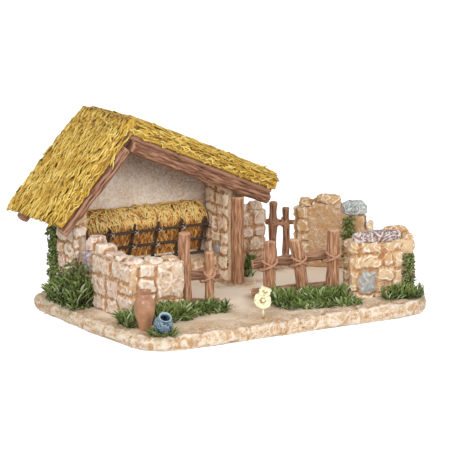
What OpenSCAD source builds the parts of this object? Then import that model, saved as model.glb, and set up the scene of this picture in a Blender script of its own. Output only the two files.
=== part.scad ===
// Nativity sheep shelter: a thatched byre, a walled pen and a ruined wall on a rocky base.
// Millimetres, +Z up, the open front faces -Y. The origin is the middle of the underside of the base.

/* [Base] */
// Width of the base, left to right
base_w = 340; // [330:1:370]
// Depth of the base, front to back
base_d = 221; // [212:1:240]
// Height of the level ground above the underside
base_h = 12; // [10:0.5:16]
// Width of the sloping rocky rim
base_rim = 5; // [3:0.5:7]
// How far the right side draws in towards the front
base_draw = 45; // [36:1:54]

/* [Shelter] */
// Gap from the left edge of the base to the left wall
shelter_left = 20; // [16:0.5:26]
// Gap from the back edge of the base to the back wall
shelter_back = 8.5; // [7:0.5:12]
// Width of the shelter over its walls
shelter_w = 175; // [165:1:185]
// Depth of the shelter over its walls
shelter_d = 55; // [49:0.5:62]
// Thickness of the shelter walls without facing stones
shelter_t = 11; // [8:0.5:13]

/* [Roof] */
// Ridge line, measured from the outside of the left wall
ridge_in = 50; // [44:1:58]
// Height of the rafters' ridge line above the ground
ridge_h = 148; // [140:1:158]
// Pitch of the short left slope
left_pitch = 48; // [44:0.5:51]
// Pitch of the long right slope
right_pitch = 23; // [21:0.5:25]
// Overhang of the roof past the left wall
left_eave = 19; // [12:0.5:24]
// Overhang of the roof past the pier
right_eave = 23; // [16:0.5:30]
// Overhang of the roof at the front
front_eave = 19; // [15:0.5:24]
// Overhang of the roof at the back
back_eave = 17; // [13:0.5:22]
// Thickness of the thatch
thatch_t = 15; // [11:0.5:18]
// Height of the thatch over the ridge line
thatch_rise = 15; // [11:0.5:19]
// Length of a course of the thatch down the slope
thatch_course = 10.5; // [8:0.5:14]
// Height of the straw tips over and under the mean of the thatch
thatch_tuft = 1.4; // [0.8:0.1:1.8]

/* [Timber] */
// Radius of the barge logs
barge_r = 5.6; // [4.5:0.1:6.5]
// Radius of the thin batten under the right thatch edge
batten_r = 1.7; // [1.3:0.1:2.4]
// Radius of the ridge pole
ridge_pole_r = 3.5; // [2.5:0.1:4.5]
// Radius of the post under the right eave
eave_post_r = 6.3; // [5:0.1:7.5]
// Radius of the pegs that hold the posts in the base
peg_r = 2; // [1.5:0.1:2.5]
// Length of those pegs
peg_len = 6; // [4:0.5:8]

/* [Low wall of the pen] */
// Step from the outside of the left wall to the outside of the low wall
low_in = 7; // [3:0.5:12]
// Gap from the front edge of the base to the low wall
low_front = 65.5; // [60:0.5:72]
// Height of the low wall under its coping
low_h = 48; // [42:1:56]
// Thickness of the low wall without facing stones
low_t = 15; // [11:0.5:18]
// Length of the front run of the low wall
low_run = 55; // [50:0.5:62]
// Height of the coping stones
coping_h = 8; // [5:0.5:11]

/* [Gate fence] */
// Radius of the tall gate post
gate_post_r = 6; // [4.5:0.1:7]
// Height of the tall gate post
gate_post_h = 69; // [60:1:76]
// Radius of the short gate post
short_post_r = 4.4; // [3.5:0.1:5.5]
// Height of the short gate post
short_post_h = 51; // [46:1:58]
// Distance between the two gate posts
gate_span = 21; // [18:0.5:26]
// Height of the upper gate rail above the ground
gate_rail_z = 29; // [24:0.5:34]

/* [Right fence] */
// Length of the fence from its first post to the wall; the open gateway is what is left
fence_run = 70; // [62:0.5:78]
// Radius of the fence posts
fence_post_r = 6; // [5:0.1:6.8]
// Heights of the three fence posts
fence_post_h = [53, 54, 61]; // [46:0.5:68]
// Lean of the middle post towards the gateway
fence_lean = 9; // [0:0.5:12]
// Height of the upper fence rail above the ground
fence_rail_z = 31; // [27:0.5:36]
// Rise of the fence rails towards the wall
fence_rise = 6.5; // [0:0.5:9]
// Half height of the upper rails
rail_r = 4.8; // [3.5:0.1:5.4]
// Half height of the lower rails
low_rail_r = 3.8; // [2.8:0.1:4.2]
// Radius of the rope
rope_r = 0.9; // [0.7:0.05:1.1]

/* [Ruined walls] */
// Height of the stub wall beside the shelter, under its coping
stub_h = 55; // [48:1:62]
// Length of the rear fence; the stub wall reaches from the shelter to it
rear_run = 28; // [26:0.5:34]
// Thickness of the stub wall without facing stones
stub_t = 9; // [7:0.5:11]
// Full height of the tall broken wall under its coping
tall_h = 62; // [54:1:68]
// Length of the tall broken wall
tall_run = 72; // [66:0.5:76]
// Thickness of the tall and the low side wall without facing stones
tall_t = 12; // [9:0.5:14]
// Gap from the right edge of the base to the near end of the tall wall
tall_in = 70; // [66:0.5:78]
// Gap from the back edge of the base to the near end of the tall wall
tall_back = 38.5; // [33:0.5:44]
// Height of the low side wall under its coping
side_h = 30; // [24:1:36]
// Gap from the right edge of the base to the left end of the front right wall
right_in = 103; // [98:0.5:110]
// Gap from the front edge of the base to the left end of the front right wall
right_front = 44; // [40:0.5:50]
// Length of the front right wall
right_run = 63; // [56:0.5:66]
// Thickness of the front right wall without facing stones
right_t = 19; // [15:0.5:22]
// Height of the front right wall under its coping
right_h = 50; // [44:1:56]
// Thickness of the thin slab on the front right wall
slab_h = 8; // [5:0.5:10]

/* [Stonework] */
// Depth of the facing stones
stone_d = 3.5; // [2.5:0.1:4.5]
// Usual length of a facing stone
stone_w = 17; // [13:0.5:22]
// Usual height of a course
course_h = 12.5; // [10:0.5:16]
// Width of the joints between stones
joint_w = 1; // [0.6:0.1:2]

/* [Hay rack] */
// Length of the rack
rack_w = 126; // [110:1:128]
// Number of slanted bars
rack_bars = 6; // [4:1:8]
// Height of the rack's foot above the ground
rack_z = 22; // [16:0.5:28]
// Height of the rack
rack_h = 36; // [30:0.5:42]
// How far the rack leans out at the top
rack_lean = 13; // [8:0.5:16]
// Radius of the bars and rails of the rack
rack_r = 1.7; // [1.2:0.1:2.2]
// Height of the hay heap over the rack
hay_over = 14; // [8:0.5:20]

/* [Pots and flower] */
// Height of the clay jar
jar_h = 34; // [28:0.5:40]
// Largest radius of the clay jar
jar_r = 9.3; // [8:0.1:11]
// Wall of the jar and the pot
pot_wall = 1.3; // [0.9:0.1:2]
// Radius of the round blue pot
pot_r = 8.4; // [7:0.1:9.5]
// Tilt of the blue pot towards the front
pot_tilt = 34; // [20:1:45]
// Radius of the flower over its petals
flower_r = 8; // [6:0.1:10]
// Height of the middle of the flower above the ground
flower_h = 16; // [13:0.5:22]

// Place of the jar's middle from the left and the front edge of the base
jar_in = 27; // [22:0.5:34]
jar_front = 40; // [34:0.5:46]
// Place of the pot's middle from the left and the front edge of the base
pot_in = 32; // [26:0.5:40]
pot_front = 17; // [14:0.5:20]
// Place of the flower from the first fence post and from the front edge of the base
flower_side = 42; // [34:0.5:48]
flower_front = 21; // [16:0.5:28]

/* [Greenery] */
// Usual height of the grass blades
grass_h = 13; // [9:0.5:18]
// Spacing of the grass blades
grass_step = 5.5; // [4.5:0.1:8]
// Size of an ivy leaf
leaf_s = 5.4; // [4:0.1:7]

/* [Fits] */
// Clearance between pieces that are seated in or on each other
fit = 0.2; // [0.1:0.05:0.4]

/* [Hidden] */
$fn = 48;

// Edges of the base
xl = -base_w / 2;
xr = base_w / 2;
yf = -base_d / 2;
yb = base_d / 2;
base_square = 11;
base_points = 84;
// Share of the height and share of the rim that each ring of the base stands in
base_rings = [[0, 0.4], [0.3, 0], [0.62, 0.05], [0.86, 0.4], [1, 1]];

// Shelter: core faces of its walls
wall_x0 = xl + shelter_left + stone_d;
wall_x1 = wall_x0 + shelter_t;
pier_x1 = xl + shelter_left + shelter_w - stone_d;
pier_x0 = pier_x1 - shelter_t;
wall_y1 = yb - shelter_back - stone_d;
wall_y0 = wall_y1 - shelter_t;
shelter_y = yb - shelter_back - shelter_d;

// Roof: ridge line and eaves of its underside
ridge_x = xl + shelter_left + ridge_in;
ridge_z = base_h + ridge_h;
roof_y0 = shelter_y - front_eave;
roof_y1 = yb - shelter_back + back_eave;
left_x = xl + shelter_left - left_eave;
right_x = xl + shelter_left + shelter_w + right_eave;
thatch_cols = 30;

// Height of the roof's underside over a place
function roof_z(x) = ridge_z - (x < ridge_x ? (ridge_x - x) * tan(left_pitch)
                                            : (x - ridge_x) * tan(right_pitch));

// Low wall: core faces
low_x0 = xl + shelter_left + low_in + stone_d;
low_x1 = low_x0 + low_t;
low_y0 = yf + low_front + stone_d;
low_y1 = low_y0 + low_t;
low_end = low_x0 - stone_d + low_run - stone_d;

// Rails lie behind their posts, flattened on the side that touches
rail_flat = 0.62;

// Gate posts
gate_gap = 1.2;
gate_p = [low_end + stone_d + gate_gap + gate_post_r, low_y0 + low_t - gate_post_r * 0.5];
short_p = [gate_p.x + gate_span, gate_p.y - gate_span * 0.3];

// Front right wall: near corner of its core, and its two directions
right_a = -15;
right_p = [xr - right_in, yf + right_front] + stone_d * (along(right_a) + across(right_a));
right_core = right_run - 2 * stone_d;

// Fence line, from the gateway to the left end of the front right wall
fence_a = -16.6;
fence_q = right_p + along(right_a) * -stone_d + across(right_a) * right_t * 0.5;
fence_p = fence_q - along(fence_a) * fence_run;
// The rails reach past the first post and end at the wall's stones
fence_stub = 14;
fence_rail_len = fence_run + fence_stub - stone_d - fit;
fence_slope = fence_rise / fence_rail_len;
fence_tilt = fence_lean / fence_post_h[1];
// Places of the posts as shares of the line from the gateway to the wall
fence_at = [0, 0.46, 0.83];

// Tall wall and low side wall
tall_a = -45;
tall_p = [xr - tall_in, yb - tall_back];
side_step = 14;

// Stub wall and rear fence
stub_y0 = wall_y1 - stub_t;
rear_q = tall_p + across(tall_a) * tall_t / 2 + along(tall_a) * -stone_d;
rear_foot_y = stub_y0 + stub_t / 2;
rear_a = asin((rear_q.y - rear_foot_y) / rear_run);
rear_p = rear_q - along(rear_a) * rear_run;
stub_x1 = rear_p.x - stone_d;
rear_rail_z = 40;
rear_rail_r = 2.6;
rear_post_r = [3.9, 3.2];
rear_post_h = [60, 55];

// Hay rack: foot and head of its plane
rack_x1 = pier_x0 - stone_d - 5;
rack_x0 = rack_x1 - rack_w;
rack_foot = [wall_y0 - rack_r - fit, base_h + rack_z];
rack_head = [rack_foot.x - rack_lean, base_h + rack_z + rack_h];
rack_rails = [0.06, 0.45, 0.84];
rack_out = 2;

// Places of the loose pieces on the ground
jar_p = [xl + jar_in, yf + jar_front];
pot_p = [xl + pot_in, yf + pot_front];
flower_p = [fence_p.x - flower_side, yf + flower_front];

// Unit directions along and across a wall that runs at angle a
function along(a) = [cos(a), sin(a)];
function across(a) = [-sin(a), cos(a)];
function unit(v) = v / norm(v);
// Repeatable scatter from 0 to 1, and between two values
function hash(a, b = 0) = let (s = sin(a * 127.1 + b * 311.7) * 4375.85) s - floor(s);
function jit(a, b, lo, hi) = lo + (hi - lo) * hash(a, b);
function on_fence(s) = fence_p + along(fence_a) * fence_run * s;
// Middle of a rear post; both posts touch the rail with their backs
function on_rear(i) = rear_p + along(rear_a) * rear_run * rear_at[i]
    + across(rear_a) * (rear_post_r[0] - rear_post_r[i]);
function rail_depth(r) = r * rail_flat;
// Middle of the middle post at a height, with its lean
function lean_at(z) = on_fence(fence_at[1]) - along(fence_a) * fence_tilt * z;

// Faces of a loft of m + 1 rings of n points each, closed by a face at both ends
function loft_faces(n, m) = concat(
    [[for (k = [0 : n - 1]) k]],
    [for (i = [0 : m - 1], k = [0 : n - 1]) [i * n + k, (i + 1) * n + k, (i + 1) * n + (k + 1) % n]],
    [for (i = [0 : m - 1], k = [0 : n - 1]) [i * n + k, (i + 1) * n + (k + 1) % n, i * n + (k + 1) % n]],
    [[for (k = [n - 1 : -1 : 0]) m * n + k]]);

// A rough log from p to q, wandering in thickness, flattened across by the factor flat;
// level cuts its ends parallel to the ground
module log_piece(p, q, r0, r1, seed, flat = 1, sides = 9, rings = 5, level = false) {
    d = level ? [0, 0, 1] : unit(q - p);
    a = unit(cross(d, abs(d.z) < 0.8 ? [0, 0, 1] : [0, 1, 0]));
    b = cross(d, a);
    pts = [for (i = [0 : rings], k = [0 : sides - 1])
        let (t = i / rings, th = 360 * k / sides, last = i == 0 || i == rings,
             r = (r0 + (r1 - r0) * t) * (last ? 0.94 : jit(seed + k, i, 0.9, 1)))
        p + (q - p) * t + r * (a * cos(th) * flat + b * sin(th))];
    polyhedron(pts, loft_faces(sides, rings));
}

// A post that stands on the ground at p, with its peg below; lean shifts its head
module post(p, r, h, seed, lean = [0, 0]) {
    head = p + lean;
    log_piece([p.x, p.y, base_h], [head.x, head.y, base_h + h], r, r * 0.92, seed, level = true);
    translate([p.x, p.y, base_h - peg_len]) cylinder(r = peg_r, h = peg_len + 2);
}

// The socket in the base for such a post
module socket(p) {
    translate([p.x, p.y, base_h - peg_len - fit]) cylinder(r = peg_r + fit, h = peg_len + fit + 1);
}

// A straight round rod from p to q
module rod(p, q, r) {
    d = q - p;
    translate(p) rotate([0, acos(d.z / norm(d)), atan2(d.y, d.x)]) cylinder(r = r, h = norm(d));
}

// One rough-hewn stone with a flat back on w = 0, in a cell of the face
module stone(u0, u1, v0, v1, depth, seed) {
    inset = 0.12;
    cut = min(u1 - u0, v1 - v0);
    c = [for (i = [0 : 7]) cut * jit(seed, i, 0.08, 0.28)];
    rim = [[u0 + c[0], v0], [u1 - c[1], v0], [u1, v0 + c[2]], [u1, v1 - c[3]],
           [u1 - c[4], v1], [u0 + c[5], v1], [u0, v1 - c[6]], [u0, v0 + c[7]]];
    crown = [for (i = [0 : 3])
        let (fu = i == 0 || i == 3 ? inset : 1 - inset, fv = i < 2 ? inset : 1 - inset)
        [u0 + (u1 - u0) * (fu + jit(seed, i + 20, -0.06, 0.06)),
         v0 + (v1 - v0) * (fv + jit(seed, i + 30, -0.06, 0.06)), depth * jit(seed, i + 40, 0.7, 1)]];
    hull() polyhedron(concat([for (p = rim) [p.x, p.y, 0]], crown),
                      concat([[for (i = [0 : 7]) i]], [[8, 9, 10], [8, 10, 11]], [[0, 1, 8], [2, 3, 9]],
                             [[4, 5, 10], [6, 7, 11]]));
}

// A rounded boulder on w = 0: its rim, a belly ring and a crown that is drawn in
module boulder(u0, u1, v0, v1, depth, seed, crown = 0.72) {
    sides = 8;
    mid = [u0 + u1, v0 + v1] / 2;
    half = [u1 - u0, v1 - v0] / 2;
    ring = function(w, grow, j) [for (i = [0 : sides - 1])
        let (th = 360 * (i + 0.5) / sides, square = pow(pow(cos(th), 4) + pow(sin(th), 4), -0.25),
             r = square * grow * jit(seed + i, j, 0.9, 1))
        [mid.x + half.x * r * cos(th), mid.y + half.y * r * sin(th),
         depth * w * jit(seed + i, j + 5, 0.84, 1)]];
    hull() polyhedron(concat(ring(0, 0.95, 1), ring(0.5, 1, 2), ring(1, crown, 3)), loft_faces(sides, 2));
}

// Courses of stones on a face of height h; span gives the ends of a course whose top is at v
module courses(h, seed, span) {
    rows = max(1, round(h / course_h));
    tops = [for (i = [0 : rows]) i == 0 ? 0 : i == rows ? h : h * (i + jit(seed, i, -0.16, 0.16)) / rows];
    for (i = [0 : rows - 1]) {
        ends = span(tops[i + 1]);
        n = max(1, round((ends[1] - ends[0]) / stone_w * jit(seed, i + 50, 0.85, 1.15)));
        cuts = [for (k = [0 : n]) ends[0] + (ends[1] - ends[0])
            * (k + (k == 0 || k == n ? 0 : jit(seed + i, k + 60, -0.22, 0.22))) / n];
        for (k = [0 : n - 1])
            stone(cuts[k] + joint_w / 2, cuts[k + 1] - joint_w / 2, tops[i] + joint_w / 2,
                  tops[i + 1] - joint_w / 2, stone_d, seed + i * 13 + k * 5);
    }
}

// Puts a face at p on the ground: u runs along angle a, v runs up, w points out of the wall
module face(p, a, z = base_h) {
    translate([p.x, p.y, z]) rotate([0, 0, a]) rotate([90, 0, 0]) children();
}

// Stones on a plain upright face
module facing(p, a, run, h, seed, z = base_h) {
    face(p, a, z) courses(h, seed, function(v) [0, run]);
}

// A row of coping stones over a wall: u along angle a, across its thickness t, with an overhang
module coping(p, a, run, t, z, n, seed, low = 0.8, high = 1.15, crown = 0.72) {
    over = stone_d * 0.6;
    translate([p.x, p.y, z]) rotate([0, 0, a])
        for (k = [0 : n - 1])
            boulder(run * k / n + joint_w / 2, run * (k + 1) / n - joint_w / 2, -over, t + over,
                    coping_h * jit(seed, k, low, high), seed + k * 7, crown);
}

// A straight wall core: front face from p along angle a, with its thickness behind
module core(p, a, run, t, h) {
    translate([p.x, p.y, base_h]) rotate([0, 0, a]) cube([run, t, h]);
}

// A smooth tube of 6 sides along a path
function tangents(p) = [for (i = [0 : len(p) - 1]) unit(p[min(i + 1, len(p) - 1)] - p[max(i - 1, 0)])];
function carried(t, n, i = 0) = i == len(t) ? [] :
    let (m = unit(n - (n * t[i]) * t[i])) concat([m], carried(t, m, i + 1));
module tube(path, r) {
    sides = 6;
    t = tangents(path);
    n = carried(t, unit(cross(t[0], [0.3, 0.2, 1])));
    pts = [for (i = [0 : len(path) - 1], k = [0 : sides - 1])
        let (th = 360 * k / sides) path[i] + r * (n[i] * cos(th) + cross(t[i], n[i]) * sin(th))];
    polyhedron(pts, loft_faces(sides, len(path) - 1));
}

// Space between the two turns where they cross
rope_space = 0.5;
// Rope of one lashing: two crossing turns round the front of the post and round the rail behind it,
// sheared by the lean of the post and the rise of the rail
function lash_path(post_r, rail_h, lean = 0, rise = 0) = let (
    around = post_r + rope_r + fit, over = 2 * rope_r + rope_space,
    back = post_r + fit + rail_depth(rail_h), deep = rail_depth(rail_h) + rope_r + fit,
    high = rail_h + rope_r + fit, side = high * 0.8,
    turns = concat(
        [for (s = [-90 : 22.5 : 90]) [around * sin(s), -around * cos(s), -side * s / 90]],
        [for (s = [-90 : 36 : 90]) [around, back + deep * cos(s), high * sin(s)]],
        [for (s = [90 : -22.5 : -90])
            let (r = around + over * cos(s)) [r * sin(s), -r * cos(s), side * s / 90]],
        [for (s = [-90 : 36 : 60]) [-around, back + deep * cos(s), high * sin(s)]]))
    [for (p = turns) [p.x - lean * p.z, p.y, p.z + rise * p.x]];
module lashing(p, a, z, post_r, rail_h, lean = 0, rise = 0) {
    translate([p.x, p.y, base_h + z]) rotate([0, 0, a]) tube(lash_path(post_r, rail_h, lean, rise), rope_r);
}
// Least distance between rope turns that do not follow each other, less the rope's thickness
function rope_gap(p) = min([for (i = [0 : len(p) - 1], k = [i + 5 : 1 : len(p) - 1]) norm(p[i] - p[k])])
    - 2 * rope_r;
echo(least_rope_gap = min(rope_gap(lash_path(fence_post_r, rail_r)),
    rope_gap(lash_path(fence_post_r, rail_r, fence_tilt, fence_slope)),
    rope_gap(lash_path(short_post_r, rail_r)), rope_gap(lash_path(rear_post_r[0], rear_rail_r))));

// A rail behind its posts, from p to q on the fence line, at two heights
module rail(p, q, a, post_r, r, z0, z1, seed) {
    back = across(a) * (post_r + fit + rail_depth(r));
    log_piece([p.x + back.x, p.y + back.y, base_h + z0], [q.x + back.x, q.y + back.y, base_h + z1],
              r, r * 0.9, seed, rail_flat);
}

// One grass blade in the cell around p, leaning by lean at its tip
module blade(p, h, lean, seed) {
    w = grass_h * 0.085;
    ring = function(z, r, s) [for (k = [0 : 2]) let (th = 120 * k + 90 * hash(seed))
        [p.x + lean.x * s + r * cos(th), p.y + lean.y * s + r * sin(th), base_h + z]];
    tip = [p.x + lean.x, p.y + lean.y, base_h + h];
    hull() polyhedron(concat(ring(0, w, 0), ring(h * 0.5, w * 0.8, 0.4), [tip]),
                      [[0, 1, 2], [3, 4, 5], [3, 4, 6], [4, 5, 6]]);
}

// A patch of blades over a box of run by deep, turned by angle a
module grass(p, a, run, deep, seed, tall = 1) {
    nu = max(1, round(run / grass_step));
    nv = max(1, round(deep / grass_step));
    for (i = [0 : nu - 1], k = [0 : nv - 1]) {
        u = (i + 0.5 + jit(seed + i, k, -0.2, 0.2)) * run / nu;
        v = (k + 0.5 + jit(seed + i, k + 9, -0.2, 0.2)) * deep / nv;
        lean = [(i + 0.5) / nu - 0.5, (k + 0.5) / nv - 0.5] * grass_step;
        h = grass_h * tall * jit(seed + i, k + 20, 0.6, 1.1);
        blade(p + along(a) * u + across(a) * v, h, lean, seed + i + k);
    }
}

// Ivy leaves in rows on a face, each held by its foot on w = 0
module ivy(run, h, seed) {
    nu = max(1, round(run / leaf_s));
    nv = max(1, round(h / leaf_s));
    for (i = [0 : nu - 1], k = [0 : nv - 1]) {
        u = (i + 0.5) * run / nu;
        v = (k + 0.5) * h / nv;
        s = leaf_s * 0.44 * jit(seed + i, k, 0.8, 1);
        w = leaf_s * jit(seed + i, k + 30, 0.45, 1);
        foot = [[u - s * 0.4, v, 0], [u + s * 0.4, v, 0], [u, v + s * 0.7, 0]];
        leaf = [[u - s, v + s * 0.3, w], [u + s, v + s * 0.3, w], [u, v - s, w * 1.1], [u, v + s, w * 0.7]];
        hull() polyhedron(concat(foot, leaf), [[0, 1, 2], [3, 4, 5], [3, 4, 6]]);
    }
}

// Outline of the base: a squared oval whose right side draws in towards the front
function base_edge(i, inset) = let (
    th = 360 * i / base_points,
    r = pow(pow(abs(cos(th)) / xr, base_square) + pow(abs(sin(th)) / yb, base_square), -1 / base_square),
    p = r * [cos(th), sin(th)], drawn = pow((1 - p.y / yb) / 2, 3),
    q = [p.x - (p.x > 0 ? base_draw : -base_draw * 0.25) * drawn * abs(p.x) / xr, p.y])
    q * (1 - inset / norm(q));

module base() {
    color("tan") difference() {
        polyhedron([for (j = [0 : 4], i = [0 : base_points - 1])
            let (rough = j == 4 ? 0 : jit(i, j + 3, 0, base_rim * 0.45),
                 p = base_edge(i, base_rings[j][1] * base_rim + rough))
            [p.x, p.y, base_h * base_rings[j][0]]], loft_faces(base_points, 4));
        socket([eave_post_p.x, eave_post_p.y]);
        socket(gate_p);
        socket(short_p);
        for (s = fence_at) socket(on_fence(s));
        for (i = [0, 1]) socket(on_rear(i));
    }
}

// Gable-ended back wall with its plaster face towards the pen
module back_wall() {
    color("wheat") translate([0, wall_y1, 0]) rotate([90, 0, 0]) linear_extrude(shelter_t)
        polygon([[wall_x0, base_h], [pier_x1, base_h], [pier_x1, roof_z(pier_x1) - fit],
                 [ridge_x, ridge_z - fit], [wall_x0, roof_z(wall_x0) - fit]]);
}
module back_wall_stones() {
    low = function(v) pier_x1 - max(wall_x0, ridge_x - (ridge_z - base_h - v) / tan(left_pitch));
    high = function(v) pier_x1 - min(pier_x1, ridge_x + (ridge_z - base_h - v) / tan(right_pitch));
    color("bisque") {
        face([pier_x1, wall_y1], 180) courses(ridge_h - course_h * 0.8, 11, function(v) [high(v), low(v)]);
        facing([wall_x1, wall_y0], 0, pier_x0 - stone_d - wall_x1, rack_z - course_h * 0.6, 71);
    }
}

// Left wall under the low eave
module left_wall() {
    color("wheat") translate([0, wall_y0, 0]) rotate([90, 0, 0]) linear_extrude(wall_y0 - shelter_y)
        polygon([[wall_x0, base_h], [wall_x1, base_h], [wall_x1, roof_z(wall_x1) - fit],
                 [wall_x0, roof_z(wall_x0) - fit]]);
}
ivy_run = 19;
module left_wall_stones() {
    h = roof_z(wall_x0 - stone_d) - base_h - joint_w;
    above = low_h + coping_h * 1.3;
    color("bisque") {
        facing([wall_x0, wall_y1 - ivy_run], -90, wall_y1 - ivy_run - shelter_y, h, 23);
        facing([wall_x0 - stone_d, shelter_y], 0, shelter_t + stone_d, h - above, 31, base_h + above);
        facing([wall_x0 - stone_d, shelter_y], 0, low_in, above, 37);
    }
}

// Pier that carries the right slope
module pier() {
    color("wheat") translate([0, wall_y0, 0]) rotate([90, 0, 0]) linear_extrude(wall_y0 - shelter_y)
        polygon([[pier_x0, base_h], [pier_x1, base_h], [pier_x1, roof_z(pier_x1) - fit],
                 [pier_x0, roof_z(pier_x0) - fit]]);
}
module pier_stones() {
    h = roof_z(pier_x1 + stone_d) - base_h - joint_w;
    color("bisque") {
        facing([pier_x0, wall_y0], -90, wall_y0 - shelter_y, h, 43);
        facing([pier_x1, shelter_y], 90, wall_y0 - shelter_y, h, 57);
    }
}

// Thickness of the thatch over its underside, in row i of m from ridge to eave and in column k from front
// to back; each course of two rows has tufts that run down it, set between those of the course above
function thatch_h(i, m, k, pitch, seed) = let (
    t = k / thatch_cols,
    edge = min(1, 0.62 + 3.2 * min(t, 1 - t)), eave = i == m ? 0.8 : 1, top = thatch_rise * cos(pitch),
    body = top + (thatch_t - top) * min(1, 14 * i / m),
    side = (floor(i / 2) + k) % 2 == 1 ? 1 : -1, tip = thatch_tuft * side * jit(seed + i, k, 0.6, 1.2))
    i == 0 ? body * (0.84 + 0.16 * edge) : body * edge * eave + tip;

// One slope of thatch on the underside from the ridge to the eave at x
module thatch(x, pitch, seed) {
    way = sign(x - ridge_x);
    run = abs(x - ridge_x);
    m = 2 * round(run / cos(pitch) / thatch_course);
    n = thatch_cols;
    under = function(i, k) [ridge_x + way * run * i / m, roof_y0 + (roof_y1 - roof_y0) * k / n,
                            ridge_z - run * tan(pitch) * i / m];
    over = function(i, k) let (h = thatch_h(i, m, k, pitch, seed))
        under(i, k) + (i == 0 ? [0, 0, h / cos(pitch)] : h * [way * sin(pitch), 0, cos(pitch)]);
    ring = concat([for (i = [0 : m]) [i, 0]], [for (k = [1 : n]) [m, k]], [for (i = [m - 1 : -1 : 0]) [i, n]],
                  [for (k = [n - 1 : -1 : 1]) [0, k]]);
    count = len(ring);
    top = function(i, k) count + i * (n + 1) + k;
    mid = count + (m + 1) * (n + 1);
    faces = concat([for (j = [0 : count - 1]) [mid, j, (j + 1) % count]],
        [for (i = [0 : m - 1], k = [0 : n - 1]) [top(i, k), top(i, k + 1), top(i + 1, k + 1)]],
        [for (i = [0 : m - 1], k = [0 : n - 1]) [top(i, k), top(i + 1, k + 1), top(i + 1, k)]],
        [for (j = [0 : count - 1]) let (e = ring[j], g = ring[(j + 1) % count])
            each [[j, top(e[0], e[1]), top(g[0], g[1])], [j, top(g[0], g[1]), (j + 1) % count]]]);
    polyhedron(concat([for (e = ring) under(e[0], e[1])], [for (i = [0 : m], k = [0 : n]) over(i, k)],
                      [under(m / 2, n / 2)]),
               way > 0 ? faces : [for (f = faces) [for (j = [len(f) - 1 : -1 : 0]) f[j]]]);
}
module left_thatch() { color("goldenrod") thatch(left_x, left_pitch, 3); }
module right_thatch() { color("goldenrod") thatch(right_x, right_pitch, 8); }

// A barge log under one slope: from the ridge plane to x, hung drop under the roof's underside
module barge(x, pitch, y, r, drop, seed) {
    way = sign(x - ridge_x);
    down = (r + drop + fit) / cos(pitch);
    // The head stops short of the ridge plane so that the two logs of a gable meet there
    start = ridge_x + way * (r * sin(pitch) + fit);
    log_piece([start, y, roof_z(start) - down], [x, y, roof_z(x) - down], r, r * 0.88, seed, 1, 9, 7);
}
front_y = roof_y0 + barge_r + 1;
rear_y = roof_y1 - barge_r - 1;
batten_drop = 2 * batten_r + fit;
module front_left_barge() { color("sienna") barge(left_x + 3, left_pitch, front_y, barge_r, 0, 5); }
module front_right_barge() {
    color("sienna") barge(right_x - 4, right_pitch, front_y, barge_r, batten_drop, 9);
}
module front_batten() { color("sienna") barge(right_x - 2, right_pitch, front_y, batten_r, 0, 15); }
module rear_left_barge() { color("sienna") barge(left_x + 3, left_pitch, rear_y, barge_r, 0, 19); }
module rear_right_barge() { color("sienna") barge(right_x - 4, right_pitch, rear_y, barge_r, 0, 25); }

// Ridge pole from the front barge logs to the back wall
ridge_pole_z = ridge_z - ridge_pole_r * (1 / cos(left_pitch) + 0.35) - fit;
module ridge_pole() {
    color("sienna") log_piece([ridge_x, front_y + barge_r + fit, ridge_pole_z],
                              [ridge_x, wall_y0 - fit, ridge_pole_z], ridge_pole_r, ridge_pole_r, 29);
}

// Post under the right barge log, at the free end of the pier
eave_post_p = [(pier_x0 + pier_x1) / 2 - 0.5, shelter_y - eave_post_r - fit];
eave_post_top = roof_z(eave_post_p.x) - (2 * barge_r + batten_drop + fit) / cos(right_pitch);
module eave_post() {
    h = eave_post_top - eave_post_r * tan(right_pitch) - fit - base_h;
    color("sienna") post(eave_post_p, eave_post_r, h, 33);
}

// Low wall: the side run meets the left wall, the front run meets the side run
// Stones of its left and front faces: ends along the face and ends up it, as shares of its length and height
low_side_laid = [[0, 0.16, 0.6, 0.99], [0.17, 0.6, 0.66, 0.97], [0.61, 1, 0.68, 0.99], [0, 0.17, 0.3, 0.59],
    [0.18, 0.5, 0.26, 0.65], [0.51, 0.76, 0.3, 0.65], [0.77, 1, 0.44, 0.67], [0.77, 1, 0.2, 0.43],
    [0, 0.2, 0, 0.29], [0.21, 0.5, 0, 0.25], [0.51, 0.76, 0, 0.29], [0.77, 1, 0, 0.19]];
low_front_laid = [[0, 0.15, 0.45, 0.99], [0, 0.17, 0.18, 0.44], [0, 0.2, 0, 0.17], [0.16, 0.45, 0.77, 0.99],
    [0.16, 0.45, 0.5, 0.76], [0.18, 0.45, 0.28, 0.49], [0.21, 0.48, 0, 0.27], [0.46, 1, 0.34, 0.99],
    [0.49, 0.78, 0.12, 0.33], [0.79, 1, 0.12, 0.33], [0.49, 1, 0, 0.11]];
// Stones laid by hand on a face of that length and height
module laid(stones, run, h, seed) {
    for (i = [0 : len(stones) - 1]) let (s = stones[i])
        stone(s[0] * run, s[1] * run, s[2] * h, s[3] * h, stone_d, seed + i * 5);
}
module low_side_wall() { color("wheat") core([low_x0, low_y0], 0, low_t, shelter_y - low_y0, low_h); }
module low_side_stones() {
    color("bisque") {
        face([low_x0, shelter_y - stone_d], -90) laid(low_side_laid, shelter_y - stone_d - low_y0, low_h, 81);
        facing([low_x1, low_y1 + stone_d], 90, shelter_y - low_y1 - 2 * stone_d, low_h, 101);
    }
}
module low_side_coping() {
    run = shelter_y - low_y0 - stone_d;
    front = run * 0.6;
    color("linen") {
        coping([low_x1, low_y0], 90, front, low_t, base_h + low_h, 3, 111, 0.45, 0.75, 0.9);
        coping([low_x1, low_y0 + front], 90, run - front, low_t, base_h + low_h, 2, 113, 1, 1.7, 0.84);
    }
}
module low_front_wall() { color("wheat") core([low_x1, low_y0], 0, low_end - low_x1, low_t, low_h); }
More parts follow.
